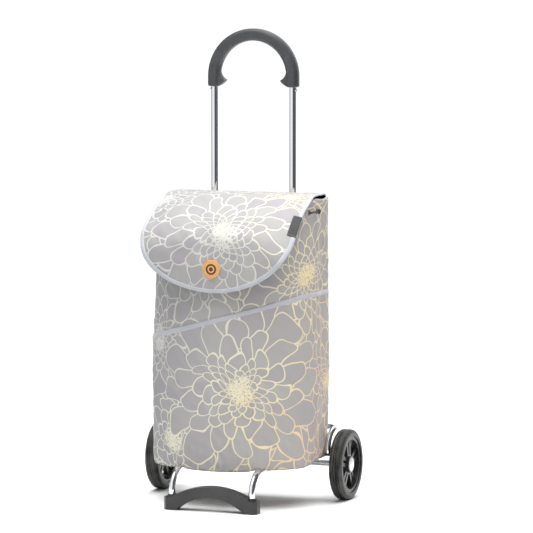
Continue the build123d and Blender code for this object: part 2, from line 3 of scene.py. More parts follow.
import bpy
import numpy as np
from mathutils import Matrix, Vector


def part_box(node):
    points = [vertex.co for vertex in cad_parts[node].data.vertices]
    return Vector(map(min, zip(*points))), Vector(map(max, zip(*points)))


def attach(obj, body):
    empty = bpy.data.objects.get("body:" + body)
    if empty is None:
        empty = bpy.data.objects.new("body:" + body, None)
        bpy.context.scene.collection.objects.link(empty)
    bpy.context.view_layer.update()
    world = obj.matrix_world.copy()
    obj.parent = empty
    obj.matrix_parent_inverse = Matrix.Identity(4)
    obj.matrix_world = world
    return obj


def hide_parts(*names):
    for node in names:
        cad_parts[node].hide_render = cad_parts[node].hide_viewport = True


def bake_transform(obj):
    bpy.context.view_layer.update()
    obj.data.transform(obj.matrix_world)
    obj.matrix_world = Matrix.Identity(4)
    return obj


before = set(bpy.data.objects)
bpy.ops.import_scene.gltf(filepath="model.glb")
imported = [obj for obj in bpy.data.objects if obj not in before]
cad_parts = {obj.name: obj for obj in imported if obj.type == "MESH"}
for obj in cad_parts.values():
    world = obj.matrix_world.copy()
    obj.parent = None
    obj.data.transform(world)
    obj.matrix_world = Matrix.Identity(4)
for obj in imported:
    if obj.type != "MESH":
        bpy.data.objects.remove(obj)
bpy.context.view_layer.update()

# ---------------------------------------------------------------- places taken from the frame

BAG_LOW, BAG_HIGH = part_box("bag_shell")
FLAP_LOW, FLAP_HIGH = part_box("flap_panel")
UPRIGHT_LOW, UPRIGHT_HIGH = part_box("upright_right")
AXLE_Y = (UPRIGHT_LOW.y + UPRIGHT_HIGH.y) / 2
BAG_HALF = BAG_HIGH.x
BAG_BACK = BAG_HIGH.y
BAG_FRONT = BAG_LOW.y
BAG_FLOOR = BAG_LOW.z

# ---------------------------------------------------------------- camera, light and floor

CAMERA_AZIMUTH = math.radians(20.46)
CAMERA_ELEVATION = math.radians(5.495)
CAMERA_DISTANCE = 7.4305
CAMERA_TARGET = Vector((0.02936, AXLE_Y, 0.49213))
CAMERA_LENS = 234.7
CAMERA_SENSOR = 36
CAMERA_CLIP = (0.1, 100)


def make_camera():
    """A long lens, to the right of the front and slightly above."""
    data = bpy.data.cameras.new("camera")
    data.sensor_width = CAMERA_SENSOR
    data.lens = CAMERA_LENS
    data.clip_start, data.clip_end = CAMERA_CLIP
    camera = linked("camera", data)
    back = Vector((
        math.sin(CAMERA_AZIMUTH) * math.cos(CAMERA_ELEVATION),
        -math.cos(CAMERA_AZIMUTH) * math.cos(CAMERA_ELEVATION),
        math.sin(CAMERA_ELEVATION),
    ))
    camera.location = CAMERA_TARGET + back * CAMERA_DISTANCE
    camera.rotation_mode = "QUATERNION"
    camera.rotation_quaternion = (-back).to_track_quat("-Z", "Y")
    bpy.context.scene.camera = camera


# ---------------------------------------------------------------- shader helpers

class Wire:
    """A number at a shader socket; arithmetic on it adds Math nodes."""

    def __init__(self, nodes, socket):
        self.nodes, self.socket = nodes, socket

    def __add__(self, other):
        return self.nodes.maths("ADD", self, other)

    def __sub__(self, other):
        return self.nodes.maths("SUBTRACT", self, other)

    def __mul__(self, other):
        return self.nodes.maths("MULTIPLY", self, other)

    def __truediv__(self, other):
        return self.nodes.maths("DIVIDE", self, other)

    def __pow__(self, other):
        return self.nodes.maths("POWER", self, other)

    def __abs__(self):
        return self.nodes.maths("ABSOLUTE", self)


class Nodes:
    """Short ways to add and join shader nodes in one tree."""

    def __init__(self, tree):
        self.tree = tree

    def add(self, kind, inputs=None, **settings):
        node = self.tree.nodes.new(kind)
        for key, value in settings.items():
            setattr(node, key, value)
        for key, value in (inputs or {}).items():
            self.feed(node.inputs[key], value)
        return node

    def feed(self, socket, value):
        value = value.socket if isinstance(value, Wire) else value
        if isinstance(value, bpy.types.NodeSocket):
            self.tree.links.new(value, socket)
        else:
            socket.default_value = value

    def maths(self, operation, *values):
        node = self.add("ShaderNodeMath", operation=operation)
        for socket, value in zip(node.inputs, values):
            self.feed(socket, value)
        return Wire(self, node.outputs[0])

    def mixed(self, kind, inputs, output, values):
        """A Mix node of one data type; the numbers pick that type's sockets."""
        node = self.add("ShaderNodeMix", data_type=kind)
        for index, value in zip(inputs, values):
            self.feed(node.inputs[index], value)
        return Wire(self, node.outputs[output])

    def blend(self, factor, low, high):
        return self.mixed("FLOAT", (0, 2, 3), 0, (factor, low, high))

    def mix(self, factor, low, high):
        return self.mixed("RGBA", (0, 6, 7), 2, (factor, low, high))

    def ramp(self, factor, stops):
        node = self.add("ShaderNodeValToRGB", {"Fac": factor})
        ramp = node.color_ramp
        while len(ramp.elements) < len(stops):
            ramp.elements.new(0.5)
        for element, (place, colour) in zip(ramp.elements, stops):
            element.position = place
            element.color = (*colour, 1)
        return node.outputs["Color"]

    def step(self, value, low, high):
        node = self.add("ShaderNodeMapRange", interpolation_type="SMOOTHSTEP")
        self.feed(node.inputs["Value"], value)
        self.feed(node.inputs["From Min"], low)
        self.feed(node.inputs["From Max"], high)
        return Wire(self, node.outputs["Result"])

    def split(self, vector):
        return [Wire(self, part) for part in self.add("ShaderNodeSeparateXYZ", {"Vector": vector}).outputs]

    def object_place(self):
        return self.add("ShaderNodeTexCoord").outputs["Object"]


def new_material(name, constants=None):
    """A material with one Principled shader that has some constant inputs; also its node helper and shader."""
    material = bpy.data.materials.new(name)
    material.use_nodes = True
    shader = material.node_tree.nodes["Principled BSDF"]
    for key, value in (constants or {}).items():
        shader.inputs[key].default_value = value
    return material, Nodes(material.node_tree), shader


def two_tone(nodes, pattern, dark, light, dark_at=0.3, light_at=0.7):
    return nodes.ramp(pattern, [(dark_at, dark), (light_at, light)])


def dress(nodes, shader, colour, rough, relief):
    """Joins a colour, roughness (pattern, spread, least) and bump (height, strength, distance) to a shader."""
    nodes.feed(shader.inputs["Base Color"], colour)
    nodes.feed(shader.inputs["Roughness"], nodes.maths("MULTIPLY_ADD", *rough))
    bump = nodes.add("ShaderNodeBump", dict(zip(("Height", "Strength", "Distance"), relief)))
    nodes.feed(shader.inputs["Normal"], bump.outputs["Normal"])


def noise_at(nodes, scale, detail, vector=None, roughness=0.5):
    place = vector or nodes.object_place()
    inputs = {"Vector": place, "Scale": scale, "Detail": detail, "Roughness": roughness}
    return Wire(nodes, nodes.add("ShaderNodeTexNoise", inputs).outputs["Fac"])


# ---------------------------------------------------------------- hard materials

def chrome():
    material, nodes, shader = new_material("chrome_plate", {"Metallic": 1.0})
    cloud, fine = noise_at(nodes, 9, 3), noise_at(nodes, 900, 2)
    colour = two_tone(nodes, cloud, (0.80, 0.82, 0.86), (0.88, 0.89, 0.91))
    dress(nodes, shader, colour, (fine, 0.05, 0.045), (cloud, 0.15, 0.0008))
    return material


def plated_steel():
    material, nodes, shader = new_material("zinc_plate", {"Metallic": 1.0})
    cloud, fine = noise_at(nodes, 60, 4), noise_at(nodes, 700, 2)
    colour = two_tone(nodes, cloud, (0.50, 0.51, 0.53), (0.68, 0.69, 0.70))
    dress(nodes, shader, colour, (cloud, 0.25, 0.18), (fine, 0.12, 0.0003))
    return material


def moulded_plastic(name, dark, light, rough, grain_scale, grain_strength):
    material, nodes, shader = new_material(name)
    colour = two_tone(nodes, noise_at(nodes, 22, 4), dark, light)
    grain = noise_at(nodes, grain_scale, 3)
    dress(nodes, shader, colour, (grain, 0.16, rough - 0.08), (grain, grain_strength, 0.0004))
    return material


def tyre_rubber():
    material, nodes, shader = new_material("tyre_rubber", {"Specular IOR Level": 0.25})
    dust = noise_at(nodes, 35, 5)
    stretched = nodes.add("ShaderNodeMapping", {"Vector": nodes.object_place(), "Scale": (420.0, 9.0, 9.0)})
    streaks = noise_at(nodes, 1.0, 3, stretched.outputs["Vector"])
    # the light streaks in the base colour are painted sheen, standing in for glossy highlights; the dust mottle
    # is the rubber's own
    dust_and_painted_sheen = streaks * 0.6 + dust * 0.4
    colour = two_tone(nodes, dust_and_painted_sheen, (0.005, 0.005, 0.005), (0.060, 0.060, 0.056), 0.42, 0.60)
    dress(nodes, shader, colour, (streaks, 0.50, 0.08), (streaks, 0.7, 0.0016))
    return material


def silver_cap():
    material, nodes, shader = new_material("silver_moulding", {"Metallic": 0.55})
    cloud, fine = noise_at(nodes, 120, 3), noise_at(nodes, 1500, 2)
    colour = two_tone(nodes, cloud, (0.66, 0.66, 0.67), (0.80, 0.80, 0.80))
    dress(nodes, shader, colour, (fine, 0.12, 0.32), (fine, 0.1, 0.0002))
    return material


# ---------------------------------------------------------------- woven materials

CROSSING_RELIEF = 0.5
THREAD_RELIEF = 0.35


def woven(nodes, uv, pitch):
    """A plain weave height: threads over and under each other at the given pitch in metres."""
    turns = math.pi / pitch
    across, along = (nodes.maths("SINE", way * turns) for way in nodes.split(uv)[:2])
    return across * along * CROSSING_RELIEF + (abs(across) + abs(along)) * THREAD_RELIEF


def uv_of(nodes):
    return nodes.add("ShaderNodeUVMap", uv_map="cloth").outputs["UV"]


TAPE_ROUGH = 0.75
STITCH_ROW = (0.0006, 0.0003)
STITCH_DASH = (0.40, 0.30)
STITCH_RELIEF = 2.0
THREAD_HIGHLIGHT_GAIN = 1.7


def tape_material(name, dark, light, pitch=0.0011, stitch=None):
    """Woven tape, with an optional row of stitches: its V, its pitch along U and its colour."""
    material, nodes, shader = new_material(name, {"Sheen Weight": 0.25})
    uv = uv_of(nodes)
    height = woven(nodes, uv, pitch)
    mottle = noise_at(nodes, 40, 4)
    # painted highlight: the raised crowns of the woven threads are lightened, as if lit from above
    raised_highlight = nodes.step(height, -0.2, 0.9) * 0.35
    painted_thread_highlight = (*[c * THREAD_HIGHLIGHT_GAIN for c in light], 1)
    colour = nodes.mix(raised_highlight, two_tone(nodes, mottle, dark, light), painted_thread_highlight)
    if stitch:
        stitch_v, stitch_pitch, stitch_colour = stitch
        along, across, _ = nodes.split(uv)
        row = nodes.step(abs(across - stitch_v), *STITCH_ROW)
        dash = nodes.step(abs(nodes.maths("FRACT", along / stitch_pitch) - 0.5), *STITCH_DASH)
        colour = nodes.mix(row * dash, colour, stitch_colour)
        height = row * dash * STITCH_RELIEF + height
    dress(nodes, shader, colour, (mottle, 0.15, TAPE_ROUGH - 0.07), (height, 0.35, 0.0004))
    return material


BLOOM_ROWS = 7.0
ROW_GROWTH = 0.285
PETAL_EDGE = 0.93
# a petal's arch is ((wide * across) ** WIDE_POWER + (tall * rise) ** TALL_POWER) ** ARCH_POWER
PETAL_WIDE, WIDE_POWER = 2.05, 2.3
PETAL_TALL, TALL_POWER = 0.52, 2.6
ARCH_POWER = 0.42
LEAST = 0.02
LINE_SOFT, LINE_HARD = 1.3, 0.7
HEART = (0.17, 0.12)


def petal_rows(nodes, depth, angle, far, source, shift):
    """Petals of every second row: outline, inside or not, how far out from the row's foot, petal number."""
    maths = nodes.maths
    row = maths("FLOOR", depth * 0.5 + 0.5 * shift) * 2.0 - float(shift)
    rise = depth - row
    spread = angle * source["Petals"] + row * 0.5
    cell = maths("FLOOR", spread)
    across = abs(spread - cell - 0.5)
    wide = (across * PETAL_WIDE) ** WIDE_POWER
    tall = (rise * PETAL_TALL) ** TALL_POWER
    both = maths("MAXIMUM", wide + tall, LEAST)
    arch = both ** ARCH_POWER
    # the arch value's slope, per metre, gives the outline an even width
    per_cell = wide * WIDE_POWER / maths("MAXIMUM", across, LEAST)
    slope_across = per_cell * (source["Petals"] / (far * (2 * math.pi)))
    slope_along = tall * (TALL_POWER / ROW_GROWTH) / maths("MAXIMUM", rise, LEAST) / far
    steepest = maths("SQRT", slope_across * slope_across + slope_along * slope_along)
    slope = maths("MAXIMUM", steepest * arch * ARCH_POWER / both, 1.0)
    gap = abs(arch - PETAL_EDGE) / slope
    # the lines thin out towards the middle
    fine = (nodes.step(far, 0.012, 0.070) * 0.45 + 0.55) * source["Width"]
    outline = nodes.step(gap, fine * LINE_SOFT, fine * LINE_HARD)
    inside = maths("LESS_THAN", arch, PETAL_EDGE)
    last = maths("LESS_THAN", row, BLOOM_ROWS - 1.5)
    # a repeatable number from 0 to 1 for each petal
    number = maths("FRACT", maths("SINE", cell * 12.7 + row) * 43.7)
    return outline * last, inside * last, rise, number


def bloom_group():
    """One flower in cloth metres: rows of rounded petals, each row tucked under the one inside it.

    Line is the outline, Heart the crowded middle, Cover one inside the flower, Shade a number per petal.
    """
    group = bpy.data.node_groups.new("bloom", "ShaderNodeTree")
    face = group.interface
    face.new_socket("Vector", in_out="INPUT", socket_type="NodeSocketVector")
    inputs = ("X", "Y", "Radius", "Petals", "Turn", "Width")
    for name in inputs:
        face.new_socket(name, in_out="INPUT", socket_type="NodeSocketFloat")
    for name in ("Line", "Heart", "Cover", "Shade"):
        face.new_socket(name, in_out="OUTPUT", socket_type="NodeSocketFloat")
    nodes = Nodes(group)
    maths = nodes.maths
    given = nodes.add("NodeGroupInput").outputs
    source = {name: Wire(nodes, given[name]) for name in inputs}
    sink = nodes.add("NodeGroupOutput")
    along, up, _ = nodes.split(given["Vector"])
    x, y = along - source["X"], up - source["Y"]
    far = maths("MAXIMUM", maths("SQRT", x * x + y * y), 0.0005)
    angle = maths("ARCTAN2", y, x) * (0.5 / math.pi) + source["Turn"]
    share = far / source["Radius"]
    # each row is larger than the one inside it by the same factor
    depth = maths("MAXIMUM", maths("LOGARITHM", share, math.e) * (1 / ROW_GROWTH) + BLOOM_ROWS, 0.0)
    line, cover, rise, shade = petal_rows(nodes, depth, angle, far, source, 0)
    line_b, cover_b, rise_b, shade_b = petal_rows(nodes, depth, angle, far, source, 1)
    # a petal whose foot is nearer the middle lies on top
    b_on_top = maths("GREATER_THAN", rise_b, rise)
    top_line = nodes.blend(b_on_top, line, line_b)
    under_line = nodes.blend(b_on_top, line_b, line)
    top_cover = nodes.blend(b_on_top, cover, cover_b)
    top_shade = nodes.blend(b_on_top, shade, shade_b)
    under_shade = nodes.blend(b_on_top, shade_b, shade)
    seen_under = under_line * maths("SUBTRACT", 1.0, top_cover)
    nodes.feed(sink.inputs["Line"], maths("MAXIMUM", top_line, seen_under))
    nodes.feed(sink.inputs["Cover"], maths("MAXIMUM", cover, cover_b))
    nodes.feed(sink.inputs["Shade"], nodes.blend(top_cover, under_shade, top_shade))
    nodes.feed(sink.inputs["Heart"], nodes.step(share, *HEART))
    return group


LINE_WIDTH = 0.0013

# flowers in metres of cloth: (x, y, radius, petals, turn), later ones on top; the bag's places start from the
# bottom of its front's middle and the flap's from the middle of its hinge
BAG_BLOOMS = [
    (-0.150, 0.270, 0.150, 12, 0.10),
    (-0.010, 0.420, 0.150, 13, 0.05),
    (0.300, 0.170, 0.150, 12, 0.20),
    (0.205, 0.400, 0.160, 15, 0.32),
    (0.050, 0.165, 0.200, 14, 0.42),
]
FLAP_BLOOMS = [
    (-0.150, 0.110, 0.140, 11, 0.12),
    (0.120, 0.095, 0.130, 12, 0.30),
    (0.020, 0.245, 0.175, 15, 0.02),
]


BAG_REPEAT, BAG_WARMTH = 0.150, (-0.28, 0.26)
FLAP_REPEAT, FLAP_WARMTH = 0.130, (-0.20, 0.42)
FABRIC = {"Sheen Weight": 0.05, "Sheen Roughness": 0.4, "Specular IOR Level": 0.28}
WOBBLE_SCALE, WOBBLE = 13.0, 0.06
UNDER_REACH, UNDER_PETALS = 1.35, 9
CRUMB_SCALE, CRUMB_EDGE = 170.0, (0.20, 0.10)
WARM_SLANT = -0.45
BACK_OF_BAG = (0.40, 0.27)
LEFT_SHADE_SPAN = (-0.02, -0.17)
INK = [
    (0.0, (0.47, 0.465, 0.44)), (0.30, (0.59, 0.57, 0.45)),
    (0.65, (0.64, 0.55, 0.33)), (1.0, (0.64, 0.43, 0.27)),
]
GROUND = [(0.0, (0.272, 0.264, 0.280)), (0.5, (0.293, 0.290, 0.290)), (1.0, (0.311, 0.313, 0.302))]
GROUND_CLOUD = (0.325, 0.300, 0.285, 1)
GROUND_WARM = (0.310, 0.265, 0.235, 1)
# painted shade: the darker ground colour on the bag's left, which faces away from the light
LEFT_SHADE_GROUND = (0.205, 0.200, 0.212, 1)
# painted shade: the darker colour for the low places between the woven threads
WEAVE_DIP_SHADE = (0.17, 0.165, 0.17, 1)
INK_COVER = 0.92
FABRIC_PITCH = 0.0009


def petal_fabric(name, blooms, group, repeat, warmth):
    """Silver grey weave printed with outlined flowers, over a smaller print that repeats.

    The outlines warm from cream to orange along a slant across the cloth, between the two places in warmth.
    """
    material, nodes, shader = new_material(name, FABRIC)
    maths = nodes.maths
    uv = uv_of(nodes)
    wobble = nodes.add("ShaderNodeTexNoise", {"Vector": uv, "Scale": WOBBLE_SCALE, "Detail": 1.0})
    about = {0: wobble.outputs["Color"], 1: (0.5, 0.5, 0.5)}
    centred = nodes.add("ShaderNodeVectorMath", about, operation="SUBTRACT").outputs[0]
    spread = {0: centred, 1: (WOBBLE, WOBBLE, 0.0), 2: uv}
    place = nodes.add("ShaderNodeVectorMath", spread, operation="MULTIPLY_ADD").outputs[0]

    def voronoi(inputs, **settings):
        return nodes.add("ShaderNodeTexVoronoi", {"Vector": place, **inputs}, **settings).outputs

    def bloom(x, y, radius, petals, turn):
        shape = {"X": x, "Y": y, "Radius": radius, "Petals": float(petals), "Turn": turn}
        inputs = {"Vector": place, "Width": LINE_WIDTH, **shape}
        return nodes.add("ShaderNodeGroup", node_tree=group, inputs=inputs).outputs

    repeats = {"Scale": 1 / repeat, "Randomness": 0.75}
    cells = voronoi(repeats, voronoi_dimensions="2D")
    edges = voronoi(repeats, voronoi_dimensions="2D", feature="DISTANCE_TO_EDGE")
    middle_x, middle_y, _ = nodes.split(cells["Position"])
    under = bloom(middle_x, middle_y, UNDER_REACH * repeat, UNDER_PETALS, nodes.split(cells["Color"])[0])
    away = maths("MULTIPLY", edges["Distance"], repeat)
    line = maths("MAXIMUM", under["Line"], nodes.step(away, LINE_SOFT * LINE_WIDTH, LINE_HARD * LINE_WIDTH))
    heart, shade = under["Heart"], under["Shade"]
    for values in blooms:
        top = bloom(*values)
        line = maths("MAXIMUM", nodes.blend(top["Cover"], line, 0.0), top["Line"])
        heart = nodes.blend(top["Cover"], heart, top["Heart"])
        shade = nodes.blend(top["Cover"], shade, top["Shade"])
    crumbs = voronoi({"Scale": CRUMB_SCALE}, feature="DISTANCE_TO_EDGE")
    print_mask = maths("MAXIMUM", line, nodes.step(crumbs["Distance"], *CRUMB_EDGE) * heart)
    u, v, _ = nodes.split(uv)
    drift = noise_at(nodes, 8, 2, uv) * 0.25 + (v * WARM_SLANT + u - 0.125)
    off_back = nodes.step(abs(u), *BACK_OF_BAG)
    warm = nodes.step(drift, *warmth) * off_back
    # painted shade: the ground darkens towards the bag's left, where the light falls less
    left = nodes.step(u, *LEFT_SHADE_SPAN) * off_back
    cloud = noise_at(nodes, 14, 3, uv)
    ground = nodes.mix(nodes.step(cloud, 0.45, 0.75) * 0.3, nodes.ramp(shade, GROUND), GROUND_CLOUD)
    ground = nodes.mix(warm * 0.35, ground, GROUND_WARM)
    ground = nodes.mix(left * 0.5, ground, LEFT_SHADE_GROUND)
    colour = nodes.mix(print_mask * INK_COVER, ground, nodes.ramp(warm, INK))
    weave = woven(nodes, uv, FABRIC_PITCH)
    # painted shade: the low places of the weave are darkened
    dip_shade = nodes.step(weave, 0.9, -0.1) * 0.14
    relief = print_mask * 0.6 + weave
    dress(nodes, shader, nodes.mix(dip_shade, colour, WEAVE_DIP_SHADE), (cloud, 0.15, 0.50), (relief, 0.3, 0.0004))
    return material


# ---------------------------------------------------------------- mesh helpers

def mesh_object(name, points, faces, materials, corner_uv):
    """A smooth-shaded mesh piece; corner_uv has one (u, v) for each corner of each face, in order."""
    mesh = bpy.data.meshes.new(name)
    mesh.from_pydata([tuple(p) for p in points], [], [tuple(f) for f in faces])
    mesh.validate(clean_customdata=False)
    mesh.polygons.foreach_set("use_smooth", [True] * len(mesh.polygons))
    for material in materials:
        mesh.materials.append(material)
    mesh.uv_layers.new(name="cloth").data.foreach_set("uv", np.asarray(corner_uv, np.float32).ravel())
    mesh.update()
    return linked(name, mesh)


def linked(name, data):
    """A new object of some data, in the scene."""
    thing = bpy.data.objects.new(name, data)
    bpy.context.scene.collection.objects.link(thing)
    return thing


def joined(*parts):
    """Arrays of numbers side by side, each stretched to the same shape."""
    return np.stack(np.broadcast_arrays(*parts), -1)


def run_length(line):
    """Distance along a line of points from its start."""
    return np.concatenate([[0], np.cumsum(np.linalg.norm(np.diff(line, axis=0), axis=1))])


def grid_quads(rows, columns, closed=False):
    """Quads of a rows x columns grid of points, and the (row, column) of each corner.

    In a closed grid the last column joins the first, and its corner column is one past the last.
    """
    spans = columns if closed else columns - 1
    i, j = np.meshgrid(np.arange(rows - 1), np.arange(spans), indexing="ij")
    i, j = i.ravel(), j.ravel()
    corner_rows = np.stack([i, i, i + 1, i + 1], 1)
    corner_columns = np.stack([j, j + 1, j + 1, j], 1)
    quads = corner_rows * columns + corner_columns % columns
    return quads, corner_rows, corner_columns


def grid_piece(name, points, uv, materials, flip=False):
    """A piece from a grid of points (rows, columns, 3) and its cloth places (rows, columns, 2)."""
    quads, corner_rows, corner_columns = grid_quads(*points.shape[:2])
    corner_uv = uv[corner_rows, corner_columns]
    if flip:
        quads, corner_uv = quads[:, ::-1], corner_uv[:, ::-1]
    return mesh_object(name, points.reshape(-1, 3), quads.tolist(), materials, corner_uv.reshape(-1, 2))


def band_piece(name, points, material, uv, flip=False):
    """A tube of any section along a line, with capped ends: points is (stations, section points, 3)."""
    stations, ring = points.shape[:2]
    quads, corner_rows, corner_columns = grid_quads(stations, ring, closed=True)
    faces = list(zip(quads.tolist(), uv[corner_rows, corner_columns].tolist()))
    first, last = list(range(ring)), list(range((stations - 1) * ring, stations * ring))
    faces.append((first[::-1], uv[0, :ring][::-1].tolist()))
    faces.append((last, uv[-1, :ring].tolist()))
    if flip:
        faces = [(face[::-1], places[::-1]) for face, places in faces]
    corner_uv = [place for _, places in faces for place in places]
    return mesh_object(name, points.reshape(-1, 3), [face for face, _ in faces], [material], corner_uv)


def thicken(piece, thickness, inner=0):
    """Gives a sheet its thickness on its inner side, with that side in another material if wanted."""
    modifier = piece.modifiers.new("thickness", "SOLIDIFY")
    modifier.thickness = thickness
    modifier.offset = -1.0
    modifier.use_even_offset = True
    modifier.material_offset = inner


def smoothstep(value, low, high):
    t = np.clip((value - low) / (high - low), 0, 1)
    return t * t * (3 - 2 * t)


def hump(value, middle, width, power=2):
    """1 at the middle, falling to 0 beyond a width to either side; a higher power has a flatter top."""
    return np.exp(-(((value - middle) / width) ** power))


FOLD_WAVES = 9


def folds(a, b, waves, seed):
    """Soft undulation of unit size over two coordinates in metres; waves is (shortest, longest)."""
    shortest, longest = waves
    draw = np.random.default_rng(seed)
    total = np.zeros(np.broadcast(a, b).shape)
    for _ in range(FOLD_WAVES):
        length = shortest * (longest / shortest) ** draw.random()
        heading, phase = draw.random() * math.pi, draw.random() * 2 * math.pi
        total = total + np.sin(2 * math.pi * (a * math.cos(heading) + b * math.sin(heading)) / length + phase)
    return total / math.sqrt(FOLD_WAVES)


# ---------------------------------------------------------------- side lines of the flap

FLAP_W = (FLAP_HIGH.x - FLAP_LOW.x) / 2 + 0.008
SIDE_LENGTH = 0.217
TONGUE = 0.1515
FLAP_SKIN = 0.003
BEND_STEPS = 14
LINE_STEPS = 400


def rounded_line(corners, radius):
    """A side line of the flap through (y, z) corners with round bends: distance, y and z, evenly spaced."""
    corners = [np.array(c) for c in corners]
    points = [corners[0]]
    for before, here, after in zip(corners, corners[1:], corners[2:]):
        a, b = (before - here), (after - here)
        la, lb = np.linalg.norm(a), np.linalg.norm(b)
        a, b = a / la, b / lb
        bend = math.pi - math.acos(float(np.clip(a @ b, -1, 1)))
        reach = min(radius * math.tan(bend / 2), 0.48 * la, 0.48 * lb)
        for t in np.linspace(0, 1, BEND_STEPS):
            p, q = here + a * reach * (1 - t), here + b * reach * t
            points.append(p + (q - p) * t)
    points.append(corners[-1])
    points = np.array(points)
    length = SIDE_LENGTH + TONGUE
    distance = run_length(points)
    distance = distance * (length / distance[-1])
    even = np.linspace(0, length, LINE_STEPS)
    return even, np.interp(even, distance, points[:, 0]), np.interp(even, distance, points[:, 1])


SEAM_CORNER = (0.0795, 0.651)
SIDE_CORNER = (0.006, 0.651)
FLAP_CENTRE = rounded_line(
    [SEAM_CORNER, (-0.036, 0.6525), (-0.106, 0.614), (-0.147, 0.570), (-0.1525, 0.520), (-0.1485, 0.4585)],
    0.070,
)
FLAP_RIGHT = rounded_line(
    [SEAM_CORNER, SIDE_CORNER, (-0.052, 0.624), (-0.113, 0.569), (-0.137, 0.520), (-0.140, 0.4365)], 0.060,
)
FLAP_LEFT = rounded_line(
    [SEAM_CORNER, SIDE_CORNER, (-0.052, 0.625), (-0.127, 0.576), (-0.152, 0.535), (-0.150, 0.4365)], 0.060,
)


# ---------------------------------------------------------------- bag

BULGE_R = 0.240
CORNER_R = 0.060
BACK_R = 0.018
BASE_ROUND = 0.0035
BULGE_Y = BAG_FRONT + BULGE_R
CORNER_X = BAG_HALF - CORNER_R
CORNER_DROP = math.sqrt((BULGE_R - CORNER_R) ** 2 - CORNER_X ** 2)
CORNER_Y = BULGE_Y - CORNER_DROP
CORNER_TURN = math.atan2(CORNER_DROP, CORNER_X)
PLAN_ENDS = np.cumsum([
    BULGE_R * (math.pi / 2 - CORNER_TURN), CORNER_R * CORNER_TURN, BAG_BACK - BACK_R - CORNER_Y,
    BACK_R * math.pi / 2, BAG_HALF - BACK_R,
])
HALF_GIRTH = PLAN_ENDS[-1]


def plan(s):
    """Place and outward normal in plan at a distance round the bag from the front's middle, positive right."""
    side, s = np.sign(s), np.abs(s)
    front, corner, flank, back_corner, _ = PLAN_ENDS
    zone = [s < front, s < corner, s < flank, s < back_corner]
    quarter = math.pi / 2
    corner_turn = quarter - CORNER_TURN + (s - front) / CORNER_R
    turn = np.select(zone, [s / BULGE_R, corner_turn, quarter, quarter + (s - flank) / BACK_R], math.pi)
    nx, ny = np.sin(turn), -np.cos(turn)
    x = np.select(
        zone, [BULGE_R * nx, CORNER_X + CORNER_R * nx, BAG_HALF, BAG_HALF - BACK_R + BACK_R * nx],
        BAG_HALF - BACK_R - (s - back_corner),
    )
    y = np.select(
        zone,
        [
            BULGE_Y + BULGE_R * ny, CORNER_Y + CORNER_R * ny, CORNER_Y + s - corner,
            BAG_BACK - BACK_R + BACK_R * ny,
        ],
        BAG_BACK,
    )
    return side * x, y, side * nx, ny


RIM_Z = BAG_HIGH.z + 0.0050
RIM_BACK_DROP = 0.0022
RIM_DIP = 0.0030
RIM_UNDER_FLAP = 0.0045
UNDER_FLAP = (-0.045, 0.0)
TUCK = 0.0105
BELLY_TOP = 0.545
BELLY_FRONT, BELLY_SIDE = 0.0045, 0.0022
LONG_CREASE, SHORT_CREASE = 0.0011, 0.0005
PUCKER, PUCKER_PITCH = 0.0008, 0.021
CORNER_PINCH = 0.0065
BACK_WALL = (0.33, 0.37)
BACK_HOLLOW = 0.0012


def flap_edge(x, y):
    """Height of the flap's side line above a place, from its left line to its right one across the front."""
    right = np.interp(-y, -FLAP_RIGHT[1], FLAP_RIGHT[2])
    left = np.interp(-y, -FLAP_LEFT[1], FLAP_LEFT[2])
    return left + (right - left) * smoothstep(x, -0.12, 0.12)


def rim_height(x, y):
    """Height of the bag's top edge: level at the back, then along the flap's edge and on under the flap."""
    level = RIM_Z - RIM_BACK_DROP * smoothstep(y, 0.06, BAG_BACK) - RIM_DIP * hump(y, 0.038, 0.022)
    follow = flap_edge(x, y) - RIM_UNDER_FLAP * smoothstep(-y, *UNDER_FLAP)
    return np.minimum(level, follow)


def tuck(x, y, z):
    """How far the side walls lean in at the top, to end under the flap's edge."""
    above = z - flap_edge(x, y)
    along = smoothstep(-y, *UNDER_FLAP) * (1 - smoothstep(-y, 0.055, 0.095))
    return TUCK * along * smoothstep(above, -0.060, -0.004)


def fullness(s, z):
    """How far the filled bag stands out from its plan, in metres."""
    away = np.abs(s)
    back = smoothstep(away, *BACK_WALL)
    belly = np.sin(math.pi * np.clip((z - BAG_FLOOR) / (BELLY_TOP - BAG_FLOOR), 0, 1) ** 0.8)
    out = BELLY_FRONT * belly * hump(s, 0, 0.17, 4) + BELLY_SIDE * belly * hump(away, 0.27, 0.05, 4)
    out = out - CORNER_PINCH * hump(away, 0.185, 0.05, 4) * smoothstep(z, 0.34, 0.50)
    crease = LONG_CREASE * folds(s, z * 0.55, (0.05, 0.16), 5) + SHORT_CREASE * folds(s, z, (0.02, 0.05), 8)
    ripple = 2 * math.pi * s / PUCKER_PITCH + 2 * folds(s, z, (0.06, 0.1), 3)
    pucker = PUCKER * np.sin(ripple) * hump(z, BAG_FLOOR, 0.05)
    live = (1 - 0.55 * back) * (1 - 0.75 * smoothstep(z, 0.55, 0.61))
    return out * (1 - back) + (crease + pucker) * live - BACK_HOLLOW * back


def bag_point(s, z, offset=0.0):
    """A point on the bag's side wall, moved out by offset."""
    x, y, nx, ny = plan(s)
    out = fullness(s, z) + offset - tuck(x, y, z) * np.abs(nx)
    return joined(x + nx * out, y + ny * out, z)


FOOT_TUBE_X = 0.089
FLOOR_HALF = 0.165
FLOOR_SAG, FLOOR_MIDDLE_SAG = 0.0088, 0.0036
FLOOR_SIDE_RISE = 0.0045


